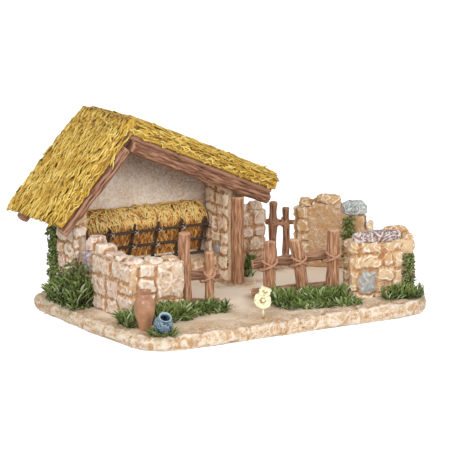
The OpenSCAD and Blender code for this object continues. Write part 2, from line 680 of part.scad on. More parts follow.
module low_front_stones() {
    color("bisque") {
        face([low_x0 - stone_d, low_y0], 0) laid(low_front_laid, low_run, low_h, 121);
        facing([low_end, low_y0], 90, low_t, low_h, 133);
        facing([low_end, low_y1], 180, low_end - low_x1 - stone_d, low_h, 141);
    }
}
module low_front_coping() {
    over = stone_d * 0.6 + joint_w;
    run = low_end - low_x1 - over;
    color("linen") coping([low_x1 + over, low_y0], 0, run, low_t, base_h + low_h, 2, 155, 0.35, 0.5, 0.93);
}

// Gate fence: two posts, two rails behind them, rope round the short post
gate_a = atan2(short_p.y - gate_p.y, short_p.x - gate_p.x);
gate_low_z = low_rail_r + 1;
gate_post_out = 7;
module gate_post() { color("peru") post(gate_p, gate_post_r, gate_post_h, 161); }
module short_post() { color("peru") post(short_p, short_post_r, short_post_h, 167); }
module gate_rails() {
    // The rails lie on the back of the short post and die against the side of the tall one
    from = gate_p + along(gate_a) * (gate_post_r + fit);
    to = short_p + along(gate_a) * (short_post_r + gate_post_out);
    color("saddlebrown") {
        rail(from, to, gate_a, short_post_r, rail_r, gate_rail_z, gate_rail_z, 171);
        rail(from, to, gate_a, short_post_r, low_rail_r, gate_low_z, gate_low_z, 177);
    }
}
module gate_lashings() {
    color("tan") lashing(short_p, gate_a, gate_rail_z, short_post_r, rail_r);
}

// Right fence: three posts, two rails behind them that end at the wall, rope round the posts
module fence_post_a() { color("peru") post(on_fence(fence_at[0]), fence_post_r, fence_post_h[0], 181); }
module fence_post_b() {
    lean = along(fence_a) * -fence_lean;
    color("peru") post(on_fence(fence_at[1]), fence_post_r, fence_post_h[1], 187, lean);
}
module fence_post_c() { color("peru") post(on_fence(fence_at[2]), fence_post_r, fence_post_h[2], 191); }
fence_low_z = low_rail_r + 2;
function fence_z(s) = fence_rail_z + fence_slope * (fence_stub + fence_run * s);
module fence_rail(r, z, rise, seed) {
    from = fence_p - along(fence_a) * fence_stub;
    to = from + along(fence_a) * fence_rail_len;
    color("saddlebrown") rail(from, to, fence_a, fence_post_r, r, z, z + rise, seed);
}
module fence_upper_rail() { fence_rail(rail_r, fence_rail_z, fence_rise, 197); }
module fence_lower_rail() { fence_rail(low_rail_r, fence_low_z, fence_rise * 0.6, 203); }
module fence_lashings() {
    color("tan") {
        for (s = [fence_at[0], fence_at[2]])
            lashing(on_fence(s), fence_a, fence_z(s), fence_post_r, rail_r, 0, fence_slope);
        middle = fence_z(fence_at[1]);
        lashing(lean_at(middle), fence_a, middle, fence_post_r, rail_r, fence_tilt, fence_slope);
    }
}

// Stub wall that carries on the line of the back wall
module stub_wall() { color("wheat") core([pier_x1, stub_y0], 0, stub_x1 - pier_x1, stub_t, stub_h); }
module stub_stones() {
    inner = pier_x1 + stone_d;
    color("bisque") {
        facing([inner, stub_y0], 0, stub_x1 - inner, stub_h, 211);
        facing([stub_x1, stub_y0], 90, stub_t, stub_h, 217);
        facing([stub_x1, stub_y0 + stub_t], 180, stub_x1 - pier_x1, stub_h, 223);
    }
}
module stub_coping() {
    inner = pier_x1 + stone_d;
    color("linen") coping([inner, stub_y0], 0, stub_x1 - inner, stub_t, base_h + stub_h, 3, 229);
}

// Rear fence between the stub wall and the tall wall
rear_at = [0.27, 0.71];
module rear_posts() {
    color("saddlebrown") for (i = [0, 1]) post(on_rear(i), rear_post_r[i], rear_post_h[i], 233 + i);
}
module rear_rail() {
    end = along(rear_a) * fit;
    color("saddlebrown") rail(rear_p + end, rear_q - end, rear_a, rear_post_r[0], rear_rail_r, rear_rail_z,
                              rear_rail_z, 239);
}
module rear_lashings() {
    color("tan") for (i = [0, 1]) lashing(on_rear(i), rear_a, rear_rail_z, rear_post_r[i], rear_rail_r);
}

// Tall broken wall: plaster face towards the pen, top stepping down to the right
// Profile of its top, as shares of its length and height
tall_steps = [[0, 0.93], [0.2, 0.93], [0.22, 1], [0.58, 1], [0.6, 0.84], [0.88, 0.84], [0.9, 0.6], [1, 0.6]];
module tall_wall() {
    color("burlywood") face(tall_p + across(tall_a) * tall_t, tall_a) linear_extrude(tall_t)
        polygon(concat([[0, 0]], [for (s = tall_steps) [s[0] * tall_run, s[1] * tall_h]], [[tall_run, 0]]));
}
module tall_stones() {
    far = tall_p + along(tall_a) * tall_run;
    back = across(tall_a) * tall_t;
    color("bisque") {
        facing(far + back, tall_a + 180, tall_run * 0.1, tall_h * 0.59, 241);
        facing(far + back - along(tall_a) * tall_run * 0.1, tall_a + 180, tall_run * 0.9, tall_h * 0.83, 247);
        facing(tall_p + back, tall_a - 90, tall_t, tall_h * 0.92, 251);
        facing(far, tall_a + 90, tall_t, tall_h * 0.59, 257);
        facing(tall_p, tall_a, tall_run * 0.16, tall_h * 0.92, 263);
    }
}
module tall_coping() {
    at = function(s) tall_p + along(tall_a) * tall_run * s;
    color("linen") {
        coping(at(0), tall_a, tall_run * 0.2, tall_t, base_h + tall_h * 0.93, 1, 269, 0.9, 1, 0.9);
        coping(at(0.22), tall_a, tall_run * 0.37, tall_t, base_h + tall_h, 1, 271, 0.8, 0.9, 0.86);
        coping(at(0.9), tall_a, tall_run * 0.1, tall_t, base_h + tall_h * 0.6, 1, 277);
    }
}
module grey_capstone() {
    p = tall_p + along(tall_a) * tall_run * 0.6;
    color("darkgray") coping(p, tall_a, tall_run * 0.29, tall_t, base_h + tall_h * 0.84, 1, 283, 1.4, 1.5);
}

// Low side wall from the tall wall to the front right wall
side_p = [for (u = [tall_run - side_step, tall_run]) tall_p + along(tall_a) * u];
right_back = right_p + across(right_a) * right_t;
side_q = [for (u = [right_core - side_step, right_core]) right_back + along(right_a) * u];
module side_wall() {
    color("wheat") translate([0, 0, base_h]) linear_extrude(side_h)
        polygon([side_p[0], side_q[0], side_q[1], side_p[1]]);
}
function heading(p, q) = atan2(q.y - p.y, q.x - p.x);
function side_run(i) = norm(side_q[i] - side_p[i]);
module side_stones() {
    margin = stone_d * 2;
    inner = heading(side_p[0], side_q[0]);
    outer = heading(side_q[1], side_p[1]);
    color("bisque") {
        facing(side_p[0] + along(inner) * margin, inner, side_run(0) - 2 * margin, side_h, 293);
        facing(side_q[1] + along(outer) * margin, outer, side_run(1) - 2 * margin, side_h, 307);
    }
}
module side_coping() {
    a = heading(side_q[0], side_p[0]);
    margin = stone_d * 3;
    t = side_step * 0.7;
    run = side_run(0) - 2 * margin;
    color("linen") coping(side_q[0] + along(a) * margin - across(a) * t, a, run, t, base_h + side_h, 6, 311);
}

// Front right wall, with a thin slab and a coping stone on its top
right_bare = 10;
// Stones of its front: ends along the wall and ends up it, as shares of its length and height
right_laid = [[-0.06, 0.35, 0, 0.1], [0.36, 0.82, 0, 0.07], [-0.06, 0.1, 0.11, 0.5], [0.11, 0.36, 0.11, 0.5],
    [0.37, 0.5, 0.08, 0.25], [0.51, 0.68, 0.08, 0.25], [0.38, 0.68, 0.26, 0.53], [0.69, 0.82, 0.08, 0.49],
    [-0.06, 0.48, 0.51, 0.78], [0.49, 0.66, 0.54, 0.82], [0.67, 0.82, 0.5, 0.82], [-0.06, 0.09, 0.79, 0.99],
    [0.1, 0.5, 0.79, 0.99], [0.51, 0.82, 0.83, 0.99]];
module right_wall() { color("wheat") core(right_p, right_a, right_core, right_t, right_h); }
module right_stones() {
    back = across(right_a) * right_t;
    far = right_p + along(right_a) * right_core;
    color("bisque") {
        face(right_p, right_a) laid(right_laid, right_core, right_h, 313);
        facing(far, right_a + 90, right_t, right_h, 317);
        facing(far + back - along(right_a) * side_step, right_a + 180, right_core - side_step, right_h, 331);
        facing(right_p + back, right_a - 90, right_t * 0.36, right_h, 337);
        facing(right_p + back * 0.3, right_a - 90, right_t * 0.3, right_h, 347);
    }
}
module right_slab() {
    color("rosybrown") translate([right_p.x, right_p.y, base_h + right_h]) rotate([0, 0, right_a])
        boulder(0, right_core * 0.83, -stone_d, right_t * 0.6, slab_h, 349, 0.92);
}
module right_coping() {
    color("linen") translate([right_p.x, right_p.y, base_h + right_h]) rotate([0, 0, right_a]) {
        boulder(right_core * 0.55, right_core + 3, right_t * 0.6 + joint_w, right_t + 2, coping_h * 1.2, 353);
        boulder(right_core * 0.84, right_core + 2, -stone_d * 0.4, right_t * 0.6, coping_h * 0.6, 359);
    }
}

// Hay rack: slanted bars with three rails in front of them
function rack_bar_x(i) = rack_x0 + rack_r + (rack_w - 2 * rack_r) * i / (rack_bars - 1);
rack_dir = unit(rack_head - rack_foot);
// Place of a rail on the front of the bars, as [y, z]
function rack_rail(s) = rack_foot + (rack_head - rack_foot) * s + [-rack_dir[1], rack_dir[0]] * (2 * rack_r);
module rack_frame() {
    color("#3a2e26") {
        for (i = [0 : rack_bars - 1])
            rod(concat(rack_bar_x(i), rack_foot), concat(rack_bar_x(i), rack_head), rack_r);
        for (s = rack_rails)
            rod(concat(rack_x0 - rack_out, rack_rail(s)), concat(rack_x1 + rack_out, rack_rail(s)), rack_r);
    }
}
module rack_ties() {
    tie_w = 2.6;
    tie_t = 0.7;
    color("silver") for (i = [1 : rack_bars - 2], s = [rack_rails[1], rack_rails[2]])
        translate([rack_bar_x(i) - tie_w / 2, rack_rail(s)[0], rack_rail(s)[1]]) difference() {
            rotate([0, 90, 0]) cylinder(r = rack_r + tie_t, h = tie_w);
            translate([-1, 0, 0]) rotate([0, 90, 0]) cylinder(r = rack_r + 0.05, h = tie_w + 2);
            translate([-1, -rack_r * 0.2, -10]) cube([tie_w + 2, 20, 20]);
        }
}

// Hay between the rack and the wall, heaped over the top rail
module hay() {
    steps = 20;
    gap = rack_r + fit + 0.2;
    back = wall_y0 - fit;
    behind = function(z) rack_foot + (rack_head - rack_foot) * z / rack_h + [gap, 0];
    foot = behind(3);
    head = behind(rack_h - 2);
    top = rack_head[1] + hay_over;
    lump = function(i, k, d) jit(i * 3 + 7, k, -d, d);
    section = function(i) let (low = i == 0 || i == steps ? 0.75 : 1, crest = (top - head[1]) * low) [
        [back, foot[1]], [back, head[1] + crest + lump(i, 1, 1.5)],
        [back - 4, head[1] + crest * 0.94 + lump(i, 2, 1.2)],
        [head[0] + 3 + lump(i, 3, 0.8), head[1] + crest * 0.62 + lump(i, 4, 1.5)],
        [head[0] + 1 + lump(i, 5, 0.8), head[1] + crest * 0.34 + lump(i, 6, 0.6)],
        head, foot];
    pts = [for (i = [0 : steps]) let (x = rack_x0 + rack_w * i / steps) for (p = section(i)) [x, p[0], p[1]]];
    color("goldenrod") polyhedron(pts, loft_faces(7, steps));
}

// Clay jar: turned profile with its real hollow
function ease(t) = (1 - cos(180 * t)) / 2;
jar_foot = 0.52;
jar_neck = 0.56;
jar_lip = 0.7;
function jar_radius(t) = jar_r * (t < 0.6 ? jar_foot + (1 - jar_foot) * sin(90 * t / 0.6)
    : t < 0.88 ? 1 + (jar_neck - 1) * ease((t - 0.6) / 0.28)
    : jar_neck + (jar_lip - jar_neck) * ease((t - 0.88) / 0.12));
module jar() {
    steps = 20;
    color("peru") translate([jar_p.x, jar_p.y, base_h]) rotate_extrude() polygon(concat(
        [[0, 0]], [for (i = [0 : steps]) [jar_radius(i / steps), jar_h * i / steps]],
        [for (i = [steps : -1 : 2]) [jar_radius(i / steps) - pot_wall, jar_h * i / steps]],
        [[0, jar_h * 2 / steps]]));
}

// Round blue pot, tipped forward on its round bottom and turned a little
module pot() {
    lip = 0.66;
    inner = pot_r - pot_wall;
    mouth = asin(lip);
    turn = -11;
    color("steelblue") translate([pot_p.x, pot_p.y, base_h + pot_r]) rotate([pot_tilt, 0, turn])
        rotate_extrude() polygon(concat(
            [for (a = [180 : -12 : mouth]) [pot_r * sin(a), pot_r * cos(a)]],
            [[pot_r * lip, pot_r * 0.92], [pot_r * (lip + 0.06), pot_r], [pot_r * lip - pot_wall, pot_r],
             [pot_r * lip - pot_wall, inner * cos(mouth)]],
            [for (a = [mouth + 6 : 12 : 180]) [inner * sin(a), inner * cos(a)]], [[0, -inner]]));
}

// Flower: five round petals on a stem, facing the front
module flower() {
    petal = flower_r * 0.42;
    thick = flower_r * 0.16;
    head = [flower_p.x, flower_p.y, base_h + flower_h];
    color("khaki") {
        translate(head) rotate([62, 0, -20]) {
            linear_extrude(thick) union() {
                circle(r = petal);
                for (i = [0 : 4]) rotate(72 * i) translate([flower_r - petal, 0]) circle(r = petal);
            }
            cylinder(r = petal * 0.6, h = thick * 2.2);
        }
        rod([head.x, head.y + 0.4, base_h], [head.x, head.y + 0.4, head.z], flower_r * 0.1);
    }
}

// Grass patches: left corner, front of the low wall, along the fence and at the right corner
grass_off = 2;
grass_deep = 10;
module grass_left() {
    wide = 1.1 * grass_deep;
    outside = wall_x0 - stone_d - wide - grass_off;
    color("forestgreen") {
        grass([outside, shelter_y + 2.4 * grass_deep], -90, 2 * grass_deep, wide, 401, 1.8);
        grass([outside, shelter_y - stone_d - grass_off], -90, 1.7 * grass_deep, wide + low_in, 405, 2.4);
        grass([low_x0 - stone_d - grass_deep, low_y0 - grass_off], -90, 1.4 * grass_deep, 0.8 * grass_deep,
              409, 1.4);
    }
}
module grass_front() {
    front = low_y0 - stone_d - grass_deep - grass_off;
    color("forestgreen") {
        grass([low_x0 + grass_deep, front], 0, low_end - low_x0 - 1.2 * grass_deep, grass_deep, 419, 1.35);
        grass([gate_p.x - gate_post_r, gate_p.y - gate_post_r - 1.3 * grass_deep], 0, 1.7 * gate_span, grass_deep,
              431, 1);
    }
}
module grass_right() {
    color("forestgreen") {
        grass(on_fence(0) + across(fence_a) * -(fence_post_r + 1.4 * grass_deep), fence_a, fence_run - gate_post_r,
              1.2 * grass_deep, 439, 1.1);
        corner = right_p + along(right_a) * (right_core * 0.5) - across(right_a) * (stone_d + grass_deep);
        grass(corner, right_a, right_core * 0.62, 0.8 * grass_deep, 443, 1.1);
        grass([pier_x1 + stone_d + grass_off, stub_y0 - stone_d - grass_deep], 0, 1.4 * grass_deep,
              0.8 * grass_deep, 449, 1.2);
    }
}

// Ivy on the left wall, in the tall wall's face and on the front right wall
ivy_wide = 12;
module ivy_left() {
    h = roof_z(wall_x0) - base_h - ivy_wide;
    color("olivedrab") face([wall_x0, wall_y1], -90) translate([1, 0, 0]) ivy(ivy_run - 2, h, 461);
}
module ivy_right() {
    color("olivedrab") {
        climb = tall_p + along(tall_a) * tall_run * 0.6;
        face(climb, tall_a, base_h + tall_h * 0.16) ivy(ivy_wide, tall_h * 0.64, 467);
        strip = right_p + along(right_a) * (right_core - right_bare);
        face(strip, right_a) ivy(right_bare, right_h * 0.75, 479);
    }
}

base();
back_wall();
back_wall_stones();
left_wall();
left_wall_stones();
pier();
pier_stones();
left_thatch();
right_thatch();
front_left_barge();
front_right_barge();
front_batten();
rear_left_barge();
rear_right_barge();
ridge_pole();
eave_post();
low_side_wall();
low_side_stones();
low_side_coping();
low_front_wall();
low_front_stones();
low_front_coping();
gate_post();
short_post();
gate_rails();
gate_lashings();
fence_post_a();
fence_post_b();
fence_post_c();
fence_upper_rail();
fence_lower_rail();
fence_lashings();
stub_wall();
stub_stones();
stub_coping();
rear_posts();
rear_rail();
rear_lashings();
tall_wall();
tall_stones();
tall_coping();
grey_capstone();
side_wall();
side_stones();
side_coping();
right_wall();
right_stones();
right_slab();
right_coping();
rack_frame();
rack_ties();
hay();
jar();
pot();
flower();
grass_left();
grass_front();
grass_right();
ivy_left();
ivy_right();
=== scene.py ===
# Nativity sheep shelter of painted cast resin: a thatched byre, a walled pen and a ruined wall.
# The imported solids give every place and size, and each section below gives one kind of piece its looks.
import math
import random

import bmesh
import bpy
import numpy as np
from mathutils import Matrix, Vector, noise
from mathutils.bvhtree import BVHTree
from mathutils.kdtree import KDTree


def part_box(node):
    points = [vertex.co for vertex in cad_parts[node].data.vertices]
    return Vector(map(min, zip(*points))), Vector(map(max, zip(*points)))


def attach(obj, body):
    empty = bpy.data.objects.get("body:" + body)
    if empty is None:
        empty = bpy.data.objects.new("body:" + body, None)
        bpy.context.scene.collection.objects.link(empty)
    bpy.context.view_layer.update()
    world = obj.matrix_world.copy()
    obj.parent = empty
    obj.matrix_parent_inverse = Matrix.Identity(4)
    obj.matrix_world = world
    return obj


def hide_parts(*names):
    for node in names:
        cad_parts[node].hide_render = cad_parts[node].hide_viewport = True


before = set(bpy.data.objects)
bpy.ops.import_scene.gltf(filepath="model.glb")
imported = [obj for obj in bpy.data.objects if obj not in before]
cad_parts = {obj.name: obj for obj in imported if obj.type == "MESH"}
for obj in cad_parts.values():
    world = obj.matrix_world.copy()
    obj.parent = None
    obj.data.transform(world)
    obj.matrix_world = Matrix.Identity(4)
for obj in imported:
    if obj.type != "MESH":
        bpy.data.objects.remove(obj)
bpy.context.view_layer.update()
random.seed(7)
noise.seed_set(7)

# Studio: the camera stands to the front left, a little above the walls, with a long lens.
# A large soft lamp on the left, a weaker low one in front and a pale sky light the model evenly,
# and it stands on a pale floor that keeps its shadow.
mm = 0.001
look_at = Vector((-5.5, 28, 70)) * mm
turn = math.radians(31)
rise = math.radians(11.3)
distance = 1980 * mm
away = Vector((-math.sin(turn) * math.cos(rise), -math.cos(turn) * math.cos(rise), math.sin(rise)))
camera = bpy.data.objects.new("camera", bpy.data.cameras.new("camera"))
camera.data.lens = 176
camera.data.sensor_width = 36
camera.location = look_at + away * distance
camera.rotation_euler = away.to_track_quat("Z", "Y").to_euler()
bpy.context.collection.objects.link(camera)
bpy.context.scene.camera = camera
bpy.context.scene.view_settings.view_transform = "Standard"

for name, place, size, watts in (("left_lamp", (-1.5, -1.4, 1.2), 1.1, 25),
                                 ("front_lamp", (0.4, -2.1, 0.5), 1.3, 18)):
    lamp = bpy.data.objects.new(name, bpy.data.lights.new(name, "AREA"))
    lamp.data.size = size
    lamp.data.energy = watts
    lamp.location = place
    lamp.rotation_euler = (Vector(place) - look_at).to_track_quat("Z", "Y").to_euler()
    bpy.context.collection.objects.link(lamp)


def srgb(code):
    """A hex colour as linear red, green, blue and alpha."""
    parts = [int(code[i:i + 2], 16) / 255 for i in (1, 3, 5)]
    return [p / 12.92 if p <= 0.04045 else ((p + 0.055) / 1.055) ** 2.4 for p in parts] + [1.0]


def add(tree, kind, sockets=None, out=None, **settings):
    """Adds a shader node, sets or links its sockets by name or number, and returns an output.

    A hex code is set as a colour.
    """
    node = tree.nodes.new("ShaderNode" + kind)
    for key, value in settings.items():
        setattr(node, key, value)
    for key, value in (sockets or {}).items():
        named = [s for s in node.inputs if s.enabled and s.name == key]
        socket = named[0] if named else node.inputs[key]
        if isinstance(value, bpy.types.NodeSocket):
            tree.links.new(value, socket)
        else:
            socket.default_value = srgb(value) if isinstance(value, str) else value
    return next((s for s in node.outputs if s.enabled and s.name == (out or s.name)), None)


def blank(owner):
    """The emptied node tree of a material or a world."""
    owner.use_nodes = True
    owner.node_tree.nodes.clear()
    return owner.node_tree


def as_mesh(bm, name):
    """Ends a working mesh and returns it as a mesh of that name."""
    mesh = bpy.data.meshes.new(name)
    bm.to_mesh(mesh)
    bm.free()
    return mesh


bpy.context.scene.world = bpy.data.worlds.new("studio_sky")
tree = blank(bpy.context.scene.world)
rays = [add(tree, "LightPath", out=ray) for ray in ("Is Camera Ray", "Is Glossy Ray", "Is Transmission Ray")]
seen = add(tree, "Math", {0: rays[0], 1: rays[1]}, operation="MAXIMUM")
seen_through = add(tree, "Math", {0: seen, 1: rays[2]}, operation="MAXIMUM")
dim = add(tree, "Background", {"Color": "#F4F6FA", "Strength": 0.75})
white = add(tree, "Background", {"Color": "#FFFFFF", "Strength": 1.0})
add(tree, "OutputWorld", {"Surface": add(tree, "MixShader", {0: seen_through, 1: dim, 2: white})})

bm = bmesh.new()
bmesh.ops.create_grid(bm, x_segments=1, y_segments=1, size=3.0)
bmesh.ops.translate(bm, verts=bm.verts, vec=(0, 0, -0.1 * mm))
floor = bpy.data.objects.new("studio_floor", as_mesh(bm, "studio_floor"))
bpy.context.collection.objects.link(floor)
paper = bpy.data.materials.new("white_paper")
# Matte, and bright enough to the camera that the backdrop stays white round the shadow
tree = blank(paper)
matte = add(tree, "BsdfDiffuse", {"Color": (0.82, 0.82, 0.82, 1)})
shown = add(tree, "Math", {0: add(tree, "LightPath", out="Is Camera Ray"), 1: 0.6}, operation="MULTIPLY")
glow = add(tree, "Emission", {"Strength": shown})
add(tree, "OutputMaterial", {"Surface": add(tree, "AddShader", {0: matte, 1: glow})})
floor.data.materials.append(paper)

# Base: one slab of cast resin, level sandy ground with a broken flagstone rim.
# It was sprayed sand, washed with ochre that ran into the cracks, and dry-brushed with white.


def skin_over(piece, grain):
    """Covers a piece with one closed skin of even squares; grain is their size in metres."""
    skin = piece.modifiers.new("skin", "REMESH")
    skin.voxel_size = grain
    skin.use_smooth_shade = True
    settled = piece.evaluated_get(bpy.context.evaluated_depsgraph_get())
    piece.data = bpy.data.meshes.new_from_object(settled)
    piece.modifiers.clear()


def merged_copy(node):
    """A copy of a solid's mesh with its loose triangles joined."""
    bm = bmesh.new()
    bm.from_mesh(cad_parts[node].data)
    bmesh.ops.remove_doubles(bm, verts=bm.verts, dist=0.001 * mm)
    return as_mesh(bm, node + "_copy")


def new_piece(name, mesh):
    """A piece of that mesh, which rides on the model's one body."""
    piece = bpy.data.objects.new(name, mesh)
    bpy.context.collection.objects.link(piece)
    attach(piece, "root")
    return piece


def recast(node, grain):
    """A finely skinned copy of a solid, which replaces it."""
    piece = new_piece(node + "_skin", merged_copy(node))
    skin_over(piece, grain)
    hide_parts(node)
    return piece


def carve(piece, height):
    """Moves each point along its normal by height(point, normal), which is in metres."""
    moved = [v.co + v.normal * height(v.co, v.normal) for v in piece.data.vertices]
    piece.data.vertices.foreach_set("co", [c for point in moved for c in point])
    piece.data.update()


def store(mesh, name, values, kind="FLOAT"):
    """Keeps one value for each point of a mesh, for its paint to read."""
    field = {"FLOAT": "value", "FLOAT_COLOR": "color", "FLOAT_VECTOR": "vector"}[kind]
    mesh.attributes.new(name, kind, "POINT").data.foreach_set(field, values)


def smoothed(mesh, passes):
    """A working copy of a mesh, its points drawn towards their neighbours so many times."""
    bm = bmesh.new()
    bm.from_mesh(mesh)
    every_way = {"use_axis_x": True, "use_axis_y": True, "use_axis_z": True}
    for step in range(passes):
        bmesh.ops.smooth_vert(bm, verts=bm.verts, factor=0.5, **every_way)
    return bm


def share(value):
    """A value kept between 0 and 1."""
    return min(1.0, max(0.0, value))


def store_relief(piece, passes, span):
    """Keeps how proud each point stands of its surroundings: 0 in a crevice, 0.5 on a flat, 1 on a ridge."""
    bm = smoothed(piece.data, passes)
    proud = [(v.co - low.co).dot(v.normal) for v, low in zip(piece.data.vertices, bm.verts)]
    bm.free()
    store(piece.data, "relief", [share(0.5 + 0.5 * p / span) for p in proud])


def surface_of(*meshes):
    """A search tree of the surfaces of those meshes."""
    bm = bmesh.new()
    for mesh in meshes:
        bm.from_mesh(mesh)
    surface = BVHTree.FromBMesh(bm)
    bm.free()
    return surface


def places_tree(places):
    """A search tree of places, numbered in their order."""
    found = KDTree(len(places))
    for number, place in enumerate(places):
        found.insert(place, number)
    found.balance()
    return found


def new_finish(name):
    """An empty material, its node tree, and the surface's own coordinates in millimetres."""
    finish = bpy.data.materials.new(name)
    tree = blank(finish)
    own = add(tree, "TexCoord", out="Object")
    return finish, tree, add(tree, "VectorMath", {"Vector": own, "Scale": 1000.0}, operation="SCALE")


def stored(tree, name, low=0.0, high=1.0, least=0.0, most=1.0, **settings):
    """A mask from a value kept on the points: least where it is low, most where it is high."""
    value = add(tree, "Attribute", out="Fac", attribute_name=name)
    limits = {"From Min": low, "From Max": high, "To Min": least, "To Max": most}
    return add(tree, "MapRange", {"Value": value, **limits}, **settings)


def brush_marks(tree, points, size, width, most=1.0):
    """Thin squiggles such as a nearly dry brush leaves: the level lines of a noise of that size in mm."""
    field = add(tree, "TexNoise", {"Vector": points, "Scale": 1 / size, "Detail": 3.0, "Distortion": 1.2})
    aside = add(tree, "Math", {0: field, 1: 0.5}, operation="SUBTRACT")
    apart = add(tree, "Math", {0: aside}, operation="ABSOLUTE")
    return add(tree, "MapRange", {"Value": apart, "From Max": width, "To Min": most, "To Max": 0.0})


def seal(tree, colour, roughness, height, depth, metallic=0.0):
    """Ends a finish: paint of that colour over a bump of that depth in millimetres."""
    bump = add(tree, "Bump", {"Height": height, "Distance": depth * mm, "Strength": 1.0})
    looks = {"Base Color": colour, "Roughness": roughness, "Metallic": metallic, "Normal": bump}
    add(tree, "OutputMaterial", {"Surface": add(tree, "BsdfPrincipled", looks)})


def dress(piece, finish, slot):
    """Gives a piece its paint; its slot is not used."""
    piece.data.materials.append(finish)


ground = recast("base", 1.3 * mm)
slab_size = 32 * mm
rock_reach = 36 * mm
moss_reach = 12 * mm
rim_tree = places_tree([v.co for v in ground.data.vertices if abs(v.normal.z) < 0.6])


def rockiness(point):
    """1 on the rim and beside it, 0 on the trodden ground further in."""
    inside = rim_tree.find(point)[2] / rock_reach + 0.45 * noise.noise(point / (17 * mm))
    return share(1.6 - 1.8 * inside)


def ground_height(point, normal):
    """Cracked slabs towards the rim, soft hollows and grit on the trodden ground."""
    flat = Vector((point.x, point.y, point.z * 0.6)) / slab_size
    bent = flat + 0.18 * noise.noise_vector(flat * 2.3)
    spread, middles = noise.voronoi(bent)
    crack = min(1.0, (spread[1] - spread[0]) * 4.5)
    step = noise.cell(middles[0] * 5.7)
    wandering = point / (12 * mm) + 0.5 * noise.noise_vector(point / (15 * mm))
    rough = 0.7 * max(0.0, 1 - 9 * abs(noise.noise(wandering))) + 0.9 * noise.noise(point / (11 * mm))
    slabs = crack - 1.0 + 0.6 * step + 1.1 * rough + 0.35 * noise.noise(point / (3.2 * mm))
    soft = 0.35 * noise.noise(point / (14 * mm)) + 0.15 * rough
    rock = rockiness(point)
    return (slabs * rock + soft * (1 - rock)) * mm if normal.z > -0.5 else 0.0


grass_nodes = ("grass_left", "grass_front", "grass_right")
growth = surface_of(*(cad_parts[node].data for node in (*grass_nodes, "pot")))
overgrown = [max(0.0, 1 - growth.find_nearest(v.co)[3] / moss_reach) for v in ground.data.vertices]
store(ground.data, "grown", overgrown)
store(ground.data, "rock", [rockiness(v.co) for v in ground.data.vertices])
carve(ground, ground_height)
store_relief(ground, 12, 0.45 * mm)

sand, tree, points = new_finish("brushed_sandstone_resin")
# Matte paint: sandy beige where it is trodden, ochre in the cracks, white where the brush caught,
# paler inside the pen, which is painted light against the shade of its walls, and an olive wash round the
# grass
patches = add(tree, "TexNoise", {"Vector": points, "Scale": 1 / 26, "Detail": 5.0, "Roughness": 0.6})
patchy = add(tree, "MapRange", {"Value": patches, "From Min": 0.38, "From Max": 0.62})
grit = add(tree, "TexNoise", {"Vector": points, "Scale": 1 / 1.6, "Detail": 4.0, "Roughness": 0.7})
speck = add(tree, "MapRange", {"Value": grit, "From Min": 0.56, "From Max": 0.72, "To Max": 0.55})
scuffs = brush_marks(tree, points, 4, 0.05, 0.6)
# Painted light: the ground is painted paler towards the back, inside the pen, where its walls shade it
sideways = add(tree, "SeparateXYZ", {"Vector": points}, out="Y")
pen_painted_light = add(tree, "MapRange", {"Value": sideways, "From Min": -75.0, "From Max": -25.0, "To Max": 0.95})
low = stored(tree, "relief", 0.05, 0.5, interpolation_type="SMOOTHSTEP")
body = add(tree, "Mix", {"Factor": patchy, "A": "#B78D5F", "B": "#CDAF88"}, data_type="RGBA")
washed = add(tree, "Mix", {"Factor": low, "A": "#AD7B47", "B": body}, data_type="RGBA")
broad = brush_marks(tree, points, 11, 0.024)
fine = brush_marks(tree, points, 5, 0.022)
strokes = add(tree, "Math", {0: broad, 1: fine}, operation="MAXIMUM")
caught = add(tree, "Math", {0: strokes, 1: stored(tree, "relief", 0.64, 1.0, most=0.8)}, operation="MAXIMUM")
dusted = add(tree, "Math", {0: caught, 1: 0.75}, operation="MULTIPLY")
stone = add(tree, "Mix", {"Factor": dusted, "A": washed, "B": "#F7EFE2"}, data_type="RGBA")
uneven = add(tree, "Math", {0: patchy, 1: 0.5, 2: 0.45}, operation="MULTIPLY_ADD")
moss = add(tree, "Math", {0: stored(tree, "grown"), 1: uneven}, operation="MULTIPLY")
colour = "#C9A880"
for mask, coat in ((patchy, "#EBD7BD"), (speck, "#A67E5C"), (scuffs, "#F4E9D8"), (pen_painted_light, "#FFEFD8"),
                   (stored(tree, "rock"), stone), (moss, "#6A6A30")):
    colour = add(tree, "Mix", {"Factor": mask, "A": colour, "B": coat}, data_type="RGBA")
seal(tree, colour, 0.85, grit, 0.35)
dress(ground, sand, "sandy_ground")

# Wall cores: those of the shelter are plastered, those of the pen are rubble in mortar behind the stones.
# Resin castings; the plaster was scratched while soft and the mortar washed with ochre.
wall_stones = {"back_wall": "back_wall_stones", "left_wall": "left_wall_stones", "pier": "pier_stones",
               "low_side_wall": "low_side_stones", "low_front_wall": "low_front_stones",
               "stub_wall": "stub_stones", "side_wall": "side_stones", "right_wall": "right_stones"}
plastered = ("back_wall", "left_wall", "pier")
mortar_rise = 0.3 * mm
beside_stone = 2.6 * mm
left_pitch = math.radians(48)
right_pitch = math.radians(23)
thatch_rise = 15
roof_shade_from = 54
roof_shade_full = 20
slope_low, slope_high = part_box("right_thatch")
roof_line = (slope_high[2] + slope_low[0] * math.tan(right_pitch)) / mm - thatch_rise

plaster, tree, points = new_finish("scratched_plaster_and_ochre_mortar")
